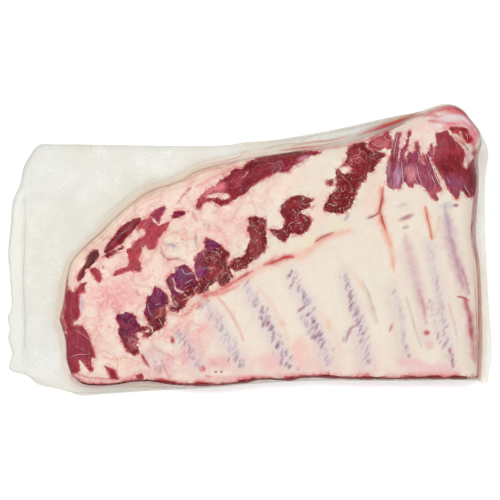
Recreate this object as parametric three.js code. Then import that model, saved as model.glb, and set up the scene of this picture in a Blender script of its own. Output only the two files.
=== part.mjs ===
// Raw pork ribs: an untrimmed rack of spare ribs, bone side up, in a clear vacuum bag that clings to it.
// Millimetres. X runs along the rack from its thin flank end to its breastbone end, Y from the sawn
// edge to the belly edge, Z up. The bag lies on Z = 0 with the origin under the middle of its box.
import * as THREE from 'three';

// Heights of the rack and of the film
const FLANK_THICK = 17;
const MIDDLE_THICK = 28;
const BREAST_THICK = 30;
const BREASTBONE_RISE = 6;
const SAWN_EDGE_SHARE = 0.86;
const EDGE_SHARE = 0.4;
const FILM_EDGE = 1.2;
const GROOVE_DEPTH = 2.6;
const GROOVE_HALF_WIDTH = 8;

// How far in from its edges the rack reaches its full thickness
const BELLY_ROUNDING = 20;
const SAWN_ROUNDING = 4;

// Steps of the surface along the rack, across it, and from the rack out to the bag's edge
const STEPS_ALONG = 92;
const STEPS_ACROSS = 40;
const FILM_RINGS = 4;

// The rack's four edges, each from its own corner to the next, as points of a smooth curve
const SAWN_EDGE = [
  [-178, -127], [-167, -134], [-152, -136], [-134, -135], [-115, -132], [-97, -132], [-75, -135],
  [-40, -136], [-5, -133], [10, -130], [40, -130.5], [55, -128], [113, -129.5], [180, -129], [229, -129],
];
const BREAST_EDGE = [
  [229, -129], [230, -85], [228, -18], [223, 15], [225, 42], [227, 70], [225, 90], [231, 106], [229, 119],
];
const BELLY_EDGE = [
  [-190, -70], [-186, -53], [-182, -26], [-176, -9], [-146, 20], [-130, 36], [-106, 55], [-92, 61.5],
  [-67, 70], [-55, 77.5], [-40, 82.5], [-20, 87], [-4, 91], [30, 96], [55, 100], [94, 103], [101, 112],
  [130, 122], [170, 135], [192, 143], [203, 144], [214, 138], [220, 130], [229, 119],
];
const FLANK_EDGE = [[-178, -127], [-183, -111], [-184, -92], [-190, -70]];

// The bag's edge, once round from the lower right tip, to the left along the sawn edge first
const BAG_EDGE = [
  [238, -133.5], [229, -130.5], [150, -130.6], [60, -130.6], [0, -134.5], [-40, -138.5], [-100, -141.5],
  [-144, -144.5], [-170, -146], [-184, -141], [-212, -135], [-222, -127], [-241, -119.5], [-238, -105],
  [-242, -89], [-240.5, -80], [-242.5, -69], [-239, -58], [-240, -30], [-242, -4], [-239.5, 26],
  [-237.5, 48], [-230, 66], [-227, 81], [-220, 95], [-211, 105], [-196, 105.5], [-25, 104.5], [-5, 107.5],
  [20, 109.5], [60, 115.5], [100, 123.5], [140, 132.5], [171, 138.5], [192, 145.5], [201, 145.8],
  [213, 141], [221, 131], [234, 112], [239, 97], [236, 70], [236, 25], [239, -50], [242.5, -105],
  [240, -122],
];

// Centre lines of the sunk strips of muscle between the ribs
const BETWEEN_RIBS = [
  [[-94, -104], [-82, -132]], [[-72, -82], [-49, -118]], [[-46, -50], [-8, -118]],
  [[-7, -31], [20, -77], [38, -118]], [[42, -22], [65, -75], [80, -116]],
  [[95, -25], [107, -68], [117, -116]], [[143, -41], [154, -96], [159, -112]],
  [[155, -5], [169, -43], [178, -90]], [[180, 5], [193, -55], [203, -118]],
  [[195, 28], [212, -32], [220, -110]],
];

// Lobes of muscle, fat and gristle that stand proud: centre, half sizes, turn in degrees and rise
const LOBES = [
  [-121, -72, 12, 24, 0, 3], [-92, -58, 10, 24, -8, 3], [-55, -35, 34, 18, 33, 4.5],
  [3, 10, 14, 26, -10, 3.5], [42, 33, 21, 20, 0, 3.5], [103, 70, 20, 40, -24, 4.5],
  [6, 74, 66, 12, 24, 3], [201, 79, 20, 36, -12, 3.5], [-130, 12, 34, 8, 47, 2.5],
  [-172, -80, 11, 44, 6, 2], [150, 92, 8, 34, -14, 2.2], [172, 96, 7, 30, 8, 2.2],
  [197, 130, 28, 14, -18, 5], [-100, 15, 14, 16, 0, 2], [-68, 20, 20, 9, -50, 2.4],
];

function curveOf(points) {
  return new THREE.CatmullRomCurve3(points.map(([x, y]) => new THREE.Vector3(x, y, 0)), false, 'centripetal');
}

const sawnEdge = curveOf(SAWN_EDGE);
const breastEdge = curveOf(BREAST_EDGE);
const bellyEdge = curveOf(BELLY_EDGE);
const flankEdge = curveOf(FLANK_EDGE);

// A point of the plan inside the four edges: a Coons patch, with u along the rack and v across it
function planPoint(u, v) {
  const low = sawnEdge.getPointAt(u);
  const high = bellyEdge.getPointAt(u);
  const left = flankEdge.getPointAt(v);
  const right = breastEdge.getPointAt(v);
  const corners = [sawnEdge.getPointAt(0), sawnEdge.getPointAt(1), bellyEdge.getPointAt(0), bellyEdge.getPointAt(1)];
  const blend = (axis) => (1 - v) * low[axis] + v * high[axis] + (1 - u) * left[axis] + u * right[axis]
    - (1 - u) * (1 - v) * corners[0][axis] - u * (1 - v) * corners[1][axis]
    - (1 - u) * v * corners[2][axis] - u * v * corners[3][axis];
  return [blend('x'), blend('y')];
}

function distanceToLine(x, y, line) {
  let nearest = Infinity;
  for (let i = 1; i < line.length; i += 1) {
    const [ax, ay] = line[i - 1];
    const dx = line[i][0] - ax;
    const dy = line[i][1] - ay;
    const along = THREE.MathUtils.clamp(((x - ax) * dx + (y - ay) * dy) / (dx * dx + dy * dy), 0, 1);
    nearest = Math.min(nearest, Math.hypot(x - ax - along * dx, y - ay - along * dy));
  }
  return nearest;
}

// Thickness of the meat before its edges are rounded: thin at the flank, thick at the breastbone
function thicknessAt(x, y) {
  const body = x < 0
    ? THREE.MathUtils.lerp(FLANK_THICK, MIDDLE_THICK, THREE.MathUtils.smoothstep(x, -215, 0))
    : THREE.MathUtils.lerp(MIDDLE_THICK, BREAST_THICK, THREE.MathUtils.smoothstep(x, 0, 230));
  const towardsSaw = THREE.MathUtils.lerp(SAWN_EDGE_SHARE, 1, THREE.MathUtils.smoothstep(y, -135, -40));
  const breastbone = BREASTBONE_RISE * Math.exp(-(((x - 200) / 46) ** 2) - ((y - 108) / 50) ** 2);
  return body * towardsSaw + breastbone;
}

// Grooves between the ribs and lobes of muscle, in millimetres above the plain surface
function reliefAt(x, y) {
  let relief = 0;
  for (const line of BETWEEN_RIBS) {
    relief -= GROOVE_DEPTH * Math.exp(-((distanceToLine(x, y, line) / GROOVE_HALF_WIDTH) ** 2));
  }
  for (const [centreX, centreY, halfX, halfY, turn, rise] of LOBES) {
    const angle = THREE.MathUtils.degToRad(turn);
    const along = ((x - centreX) * Math.cos(angle) + (y - centreY) * Math.sin(angle)) / halfX;
    const across = ((y - centreY) * Math.cos(angle) - (x - centreX) * Math.sin(angle)) / halfY;
    relief += rise * Math.exp(-((along * along + across * across) ** 2));
  }
  return relief;
}

// A quarter round: 0 at the edge and 1 from `reach` inwards
function rounding(distance, reach) {
  const inward = Math.min(distance / reach, 1);
  return Math.sqrt(1 - (1 - inward) ** 2);
}

// Steps that gather towards both ends, so that the rounded edges get more of them
function gathered(t) {
  return t - 0.11 * Math.sin(2 * Math.PI * t);
}

function surfaceHeight(u, v, x, y) {
  const [lowX, lowY] = planPoint(u, 0);
  const [highX, highY] = planPoint(u, 1);
  const [leftX, leftY] = planPoint(0, v);
  const [rightX, rightY] = planPoint(1, v);
  const fromBelly = Math.min(
    Math.hypot(x - highX, y - highY), Math.hypot(x - leftX, y - leftY), Math.hypot(x - rightX, y - rightY),
  );
  const fromSaw = Math.hypot(x - lowX, y - lowY);
  const full = thicknessAt(x, y) + reliefAt(x, y) * Math.min(1, fromBelly / BELLY_ROUNDING);
  const rounded = EDGE_SHARE + (1 - EDGE_SHARE) * rounding(fromBelly, BELLY_ROUNDING);
  const sawn = SAWN_EDGE_SHARE + (1 - SAWN_EDGE_SHARE) * rounding(fromSaw, SAWN_ROUNDING);
  return full * rounded * sawn;
}

// Where the ray from the middle through a point of the rack's edge meets the bag's edge
function bagPointBeyond(x, y, outline) {
  let best = null;
  for (let i = 0; i < outline.length; i += 1) {
    const a = outline[i];
    const b = outline[(i + 1) % outline.length];
    const turn = x * (b.y - a.y) - y * (b.x - a.x);
    if (Math.abs(turn) < 1e-9) continue;
    const reach = (a.x * (b.y - a.y) - a.y * (b.x - a.x)) / turn;
    const along = (a.x * y - a.y * x) / turn;
    if (reach > 0 && along >= 0 && along <= 1 && (best === null || reach > best)) best = reach;
  }
  return [x * best, y * best];
}

function buildSurface() {
  const positions = [];
  const faces = [];
  const addVertex = (x, y, z) => positions.push(x, y, z) / 3 - 1;
  const addQuad = (a, b, c, d) => faces.push(a, b, c, a, c, d);

  const grid = [];
  for (let j = 0; j <= STEPS_ACROSS; j += 1) {
    const v = gathered(j / STEPS_ACROSS);
    const row = [];
    for (let i = 0; i <= STEPS_ALONG; i += 1) {
      const u = gathered(i / STEPS_ALONG);
      const [x, y] = planPoint(u, v);
      row.push(addVertex(x, y, surfaceHeight(u, v, x, y)));
    }
    grid.push(row);
  }
  for (let j = 0; j < STEPS_ACROSS; j += 1) {
    for (let i = 0; i < STEPS_ALONG; i += 1) {
      addQuad(grid[j][i], grid[j][i + 1], grid[j + 1][i + 1], grid[j + 1][i]);
    }
  }

  const rim = [
    ...grid[0].slice(0, -1),
    ...grid.slice(0, -1).map((row) => row[STEPS_ALONG]),
    ...grid[STEPS_ACROSS].slice(1).reverse(),
    ...grid.slice(1).reverse().map((row) => row[0]),
  ];
  const outline = new THREE.CatmullRomCurve3(
    BAG_EDGE.map(([x, y]) => new THREE.Vector3(x, y, 0)), true, 'centripetal',
  ).getPoints(BAG_EDGE.length * 6).slice(0, -1);

  // The film falls from the rack's edge in a hollow curve and then lies flat out to the bag's edge
  const floorLoop = [];
  const rings = rim.map((start) => {
    const [x, y, z] = positions.slice(start * 3, start * 3 + 3);
    const [bagX, bagY] = bagPointBeyond(x, y, outline);
    const width = Math.hypot(bagX - x, bagY - y);
    const fall = Math.min(width, z * 0.9);
    const column = [start];
    for (let k = 1; k <= FILM_RINGS; k += 1) {
      const out = k < FILM_RINGS ? (fall * k) / FILM_RINGS : width;
      const drop = Math.max(0, 1 - out / fall) ** 2;
      const share = out / width;
      column.push(addVertex(
        x + (bagX - x) * share, y + (bagY - y) * share, FILM_EDGE + (z - FILM_EDGE) * (k < FILM_RINGS ? drop : 0),
      ));
    }
    floorLoop.push(new THREE.Vector2(bagX, bagY));
    column.push(addVertex(bagX, bagY, 0));
    return column;
  });
  rings.forEach((column, i) => {
    const next = rings[(i + 1) % rings.length];
    for (let k = 0; k <= FILM_RINGS; k += 1) {
      addQuad(column[k], column[k + 1], next[k + 1], next[k]);
    }
  });

  // The flat underside
  const under = rings.map((column) => column[FILM_RINGS + 1]);
  for (const [a, b, c] of THREE.ShapeUtils.triangulateShape(floorLoop, [])) {
    faces.push(under[a], under[c], under[b]);
  }

  const geometry = new THREE.BufferGeometry();
  geometry.setAttribute('position', new THREE.Float32BufferAttribute(positions, 3));
  geometry.setIndex(faces);
  geometry.computeVertexNormals();

  // The origin goes under the middle of the bag's box
  geometry.computeBoundingBox();
  const middle = geometry.boundingBox.getCenter(new THREE.Vector3());
  geometry.translate(-middle.x, -middle.y, 0);
  return geometry;
}

const baggedRibs = new THREE.Mesh(
  buildSurface(),
  new THREE.MeshStandardMaterial({ color: 0xe6cabb, roughness: 0.3, metalness: 0 }),
);
baggedRibs.name = 'bagged_ribs';

const ribs = new THREE.Group();
ribs.add(baggedRibs);

export default ribs;
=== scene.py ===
import bpy
import numpy as np
from mathutils.bvhtree import BVHTree
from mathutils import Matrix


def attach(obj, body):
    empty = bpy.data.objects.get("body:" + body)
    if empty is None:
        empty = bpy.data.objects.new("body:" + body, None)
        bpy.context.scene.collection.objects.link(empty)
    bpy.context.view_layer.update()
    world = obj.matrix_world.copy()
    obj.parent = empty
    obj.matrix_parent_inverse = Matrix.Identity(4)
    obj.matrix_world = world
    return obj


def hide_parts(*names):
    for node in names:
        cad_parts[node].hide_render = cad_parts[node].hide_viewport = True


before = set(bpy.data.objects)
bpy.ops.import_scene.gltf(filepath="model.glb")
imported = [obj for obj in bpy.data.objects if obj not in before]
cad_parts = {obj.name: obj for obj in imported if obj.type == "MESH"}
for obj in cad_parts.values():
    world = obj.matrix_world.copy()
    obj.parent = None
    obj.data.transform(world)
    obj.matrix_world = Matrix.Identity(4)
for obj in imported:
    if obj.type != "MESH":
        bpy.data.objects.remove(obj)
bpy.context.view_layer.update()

# The rack: one slab of bone, lean and fat, as cut from the animal, lying with its bone side up.
# It is a closed skin of fine squares between four smooth edges, with grooves between the ribs,
# lobes of muscle and a sawn face along its lower side. Sizes are in millimetres.
MM = 0.001
STEPS_ALONG, STEPS_ACROSS, UNDER_STEP = 352, 224, 4
FLANK_THICK, MIDDLE_THICK, BREAST_THICK, BREASTBONE_RISE = 17.0, 28.0, 30.0, 6.0
SAWN_SHARE, EDGE_SHARE = 0.86, 0.4
BELLY_ROUNDING, SAWN_ROUNDING = 20.0, 4.0
GROOVE_DEPTH, GROOVE_HALF_WIDTH = 2.6, 8.0
UNDER_FILM = 0.5
SAW_LIP = 0.7

SAWN_EDGE = [
    (-178, -127), (-167, -134), (-152, -136), (-134, -135), (-115, -132), (-97, -132), (-75, -135),
    (-40, -136), (-5, -133), (10, -130), (40, -130.5), (55, -128), (113, -129.5), (180, -129),
    (229, -129),
]
BREAST_EDGE = [
    (229, -129), (230, -85), (228, -18), (223, 15), (225, 42), (227, 70), (225, 90), (231, 106),
    (229, 119),
]
BELLY_EDGE = [
    (-190, -70), (-186, -53), (-182, -26), (-176, -9), (-146, 20), (-130, 36), (-106, 55), (-92, 61.5),
    (-67, 70), (-55, 77.5), (-40, 82.5), (-20, 87), (-4, 91), (30, 96), (55, 100), (78, 103.5),
    (97, 107.5), (114, 112.5), (131, 118), (150, 126.5), (170, 135), (192, 143), (203, 144),
    (214, 138), (220, 130), (229, 119),
]
FLANK_EDGE = [(-178, -127), (-183, -111), (-184, -92), (-190, -70)]
BETWEEN_RIBS = [
    [(-94, -104), (-82, -132)], [(-72, -82), (-49, -118)], [(-46, -50), (-8, -118)],
    [(-7, -31), (20, -77), (38, -118)], [(42, -22), (65, -75), (80, -116)],
    [(95, -25), (107, -68), (117, -116)], [(143, -41), (154, -96), (159, -112)],
    [(155, -5), (169, -43), (178, -90)], [(180, 5), (193, -55), (203, -118)],
    [(195, 28), (212, -32), (220, -110)],
]
# Lobes that stand proud: centre, half sizes, turn in degrees and rise
LOBES = [
    (-121, -72, 12, 24, 0, 3), (-92, -58, 10, 24, -8, 3), (-55, -35, 34, 18, 33, 4.5),
    (3, 10, 14, 26, -10, 3.5), (42, 33, 21, 20, 0, 3.5), (103, 70, 20, 40, -24, 4.5),
    (6, 74, 66, 12, 24, 3), (201, 79, 20, 36, -12, 3.5), (-130, 12, 34, 8, 47, 2.5),
    (-172, -80, 11, 44, 6, 2), (150, 92, 8, 34, -14, 2.2), (172, 96, 7, 30, 8, 2.2),
    (197, 130, 28, 14, -18, 5), (-100, 15, 14, 16, 0, 2), (-68, 20, 20, 9, -50, 2.4),
]


def smooth_line(points, closed=False, per_span=10):
    """A fine line through the points, rounded between them."""
    p = np.array(points, float)
    if closed:
        p = np.vstack([p[-1:], p, p[:2]])
    else:
        p = np.vstack([2 * p[0] - p[1], p, 2 * p[-1] - p[-2]])
    pieces = []
    for a, b, c, d in zip(p[:-3], p[1:-2], p[2:-1], p[3:]):
        t1 = np.hypot(*(b - a)) ** 0.5
        t2 = t1 + np.hypot(*(c - b)) ** 0.5
        t3 = t2 + np.hypot(*(d - c)) ** 0.5
        t = np.linspace(t1, t2, per_span, endpoint=False)[:, None]
        ab = ((t1 - t) * a + t * b) / t1
        bc = ((t2 - t) * b + (t - t1) * c) / (t2 - t1)
        cd = ((t3 - t) * c + (t - t2) * d) / (t3 - t2)
        abc = ((t2 - t) * ab + t * bc) / t2
        bcd = ((t3 - t) * bc + (t - t1) * cd) / (t3 - t1)
        pieces.append(((t2 - t) * abc + (t - t1) * bcd) / (t2 - t1))
    line = np.vstack(pieces)
    return line if closed else np.vstack([line, p[-2]])


def way_along(line):
    """Distance along a line at each of its points."""
    return np.r_[0, np.cumsum(np.hypot(*np.diff(line, axis=0).T))]


def spread(line, count):
    """Count + 1 points at equal distances along a line."""
    length = way_along(line)
    at = np.linspace(0, length[-1], count + 1)
    return np.column_stack([np.interp(at, length, line[:, 0]), np.interp(at, length, line[:, 1])])


def patch_between(low, high, left, right):
    """A grid of points that fills the space between four edges (a Coons patch)."""
    u = np.linspace(0, 1, len(low))[None, :, None]
    v = np.linspace(0, 1, len(left))[:, None, None]
    low, high, left, right = low[None], high[None], left[:, None], right[:, None]
    corners = ((1 - u) * (1 - v) * low[:, :1] + u * (1 - v) * low[:, -1:]
               + (1 - u) * v * high[:, :1] + u * v * high[:, -1:])
    return (1 - v) * low + v * high + (1 - u) * left + u * right - corners


def ease(value, low, high):
    """0 below low, 1 above high, smooth between."""
    t = np.clip((value - low) / (high - low), 0, 1)
    return t * t * (3 - 2 * t)


def distance_to(x, y, line):
    """Distance from each point to a line of straight steps."""
    nearest = np.full(x.shape, 1e9)
    for (ax, ay), (bx, by) in zip(line[:-1], line[1:]):
        dx, dy = bx - ax, by - ay
        along = np.clip(((x - ax) * dx + (y - ay) * dy) / max(dx * dx + dy * dy, 1e-9), 0, 1)
        nearest = np.minimum(nearest, np.hypot(x - ax - along * dx, y - ay - along * dy))
    return nearest


def thickness(x, y):
    """Thickness of the meat before its edges are rounded."""
    flank = FLANK_THICK + (MIDDLE_THICK - FLANK_THICK) * ease(x, -215, 0)
    body = flank + (BREAST_THICK - MIDDLE_THICK) * ease(x, 0, 230)
    towards_saw = SAWN_SHARE + (1 - SAWN_SHARE) * ease(y, -135, -40)
    return body * towards_saw + BREASTBONE_RISE * np.exp(-((x - 200) / 46) ** 2 - ((y - 108) / 50) ** 2)


def relief(x, y):
    """Grooves between the ribs and lobes of muscle."""
    height = np.zeros(x.shape)
    for line in BETWEEN_RIBS:
        height -= GROOVE_DEPTH * np.exp(-(distance_to(x, y, line) / GROOVE_HALF_WIDTH) ** 2)
    for cx, cy, half_x, half_y, turn, rise in LOBES:
        c, s = np.cos(np.radians(turn)), np.sin(np.radians(turn))
        along = ((x - cx) * c + (y - cy) * s) / half_x
        across = ((y - cy) * c - (x - cx) * s) / half_y
        height += rise * np.exp(-(along ** 2 + across ** 2) ** 2)
    return height


def rounding(distance, reach):
    """Height of a quarter round, as a share, at a distance from the edge."""
    return np.sqrt(1 - (1 - np.minimum(distance / reach, 1)) ** 2)


def form_height(plan):
    """Height of the rack's bone side over a grid of the plan."""
    x, y = plan[..., 0], plan[..., 1]
    gap = lambda edge: np.hypot(x - edge[..., 0], y - edge[..., 1])
    from_belly = np.minimum(gap(plan[-1:]), np.minimum(gap(plan[:, :1]), gap(plan[:, -1:])))
    full = thickness(x, y) + relief(x, y) * np.minimum(1, from_belly / BELLY_ROUNDING)
    rounded = EDGE_SHARE + (1 - EDGE_SHARE) * rounding(from_belly, BELLY_ROUNDING)
    sawn = SAWN_SHARE + (1 - SAWN_SHARE) * rounding(gap(plan[:1]), SAWN_ROUNDING)
    return full * rounded * sawn


def rim_of(grid):
    """The outer points of a grid, once round, from its lower left corner along the lower edge."""
    return np.concatenate([grid[0, :-1], grid[:-1, -1], grid[-1, :0:-1], grid[:0:-1, 0]])


def sides_of(loop, columns, rows):
    """A loop round a grid as its low, high, left and right side, each from the lower left on."""
    ring = np.concatenate([loop, loop[:1]])
    corner = columns + rows
    return (ring[:columns + 1], ring[corner:corner + columns + 1][::-1], ring[corner + columns:][::-1],
            ring[columns:corner + 1])


def closed_skin(top, loops, step):
    """Points and faces of a closed skin: a grid on top, loops down its sides, a coarser grid below."""
    rows, columns = top.shape[:2]
    index = np.arange(rows * columns).reshape(rows, columns)
    squares = np.stack([index[:-1, :-1], index[:-1, 1:], index[1:, 1:], index[1:, :-1]], -1)
    faces = squares.reshape(-1, 4).tolist()
    points = [top.reshape(-1, 3)]
    above = rim_of(index)
    count = rows * columns
    for loop in loops:
        below = count + np.arange(len(loop))
        points.append(loop)
        count += len(loop)
        faces += np.stack([above, below, np.roll(below, -1), np.roll(above, -1)], -1).tolist()
        above = below
    under = patch_between(*[side[::step] for side in sides_of(loops[-1], columns - 1, rows - 1)])
    inner = under[1:-1, 1:-1]
    points.append(inner.reshape(-1, 3))
    low, high, left, right = sides_of(above, columns - 1, rows - 1)
    corners = np.zeros(under.shape[:2], int)
    corners[1:-1, 1:-1] = count + np.arange(inner[..., 0].size).reshape(inner.shape[:2])
    corners[0], corners[-1] = low[::step], high[::step]
    corners[:, 0], corners[:, -1] = left[::step], right[::step]
    last_row, last_column = corners.shape[0] - 2, corners.shape[1] - 2
    for j in range(last_row + 1):
        for i in range(last_column + 1):
            row, column = slice(j * step + 1, (j + 1) * step), slice(i * step + 1, (i + 1) * step)
            face = [corners[j, i], *(left[row] if i == 0 else [])]
            face += [corners[j + 1, i], *(high[column] if j == last_row else [])]
            face += [corners[j + 1, i + 1], *(right[row][::-1] if i == last_column else [])]
            face += [corners[j, i + 1], *(low[column][::-1] if j == 0 else [])]
            faces.append([int(v) for v in face])
    return np.vstack(points), faces


def add_mesh(name, points, faces):
    """A smooth-shaded object from points in millimetres."""
    mesh = bpy.data.meshes.new(name)
    mesh.from_pydata((np.asarray(points) * MM).tolist(), [], faces)
    mesh.shade_smooth()
    piece = bpy.data.objects.new(name, mesh)
    bpy.context.scene.collection.objects.link(piece)
    return piece


def waves(x, y, size, seed):
    """Smooth random heights from -1 to 1, about size apart."""
    table = np.random.default_rng(seed).uniform(-1, 1, (128, 128))
    gx, gy = x / size + 40.3, y / size + 40.7
    ix, iy = np.floor(gx).astype(int), np.floor(gy).astype(int)
    fx, fy = gx - ix, gy - iy
    fx, fy = fx * fx * (3 - 2 * fx), fy * fy * (3 - 2 * fy)
    at = lambda i, j: table[(iy + j) % 128, (ix + i) % 128]
    return (at(0, 0) * (1 - fx) + at(1, 0) * fx) * (1 - fy) + (at(0, 1) * (1 - fx) + at(1, 1) * fx) * fy


edges = [smooth_line(edge) for edge in (SAWN_EDGE, BELLY_EDGE, FLANK_EDGE, BREAST_EDGE)]
edges[0] = edges[0] + (0, SAW_LIP + UNDER_FILM)
for side, corner in ((edges[2], edges[0][0]), (edges[3], edges[0][-1])):
    far_end = side[-1, 1]
    side[:, 1] = far_end + (side[:, 1] - far_end) * (corner[1] - far_end) / (side[0, 1] - far_end)
    side[0] = corner
plan = patch_between(spread(edges[0], STEPS_ALONG), spread(edges[1], STEPS_ALONG),
                     spread(edges[2], STEPS_ACROSS), spread(edges[3], STEPS_ACROSS))
form = form_height(plan)

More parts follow.
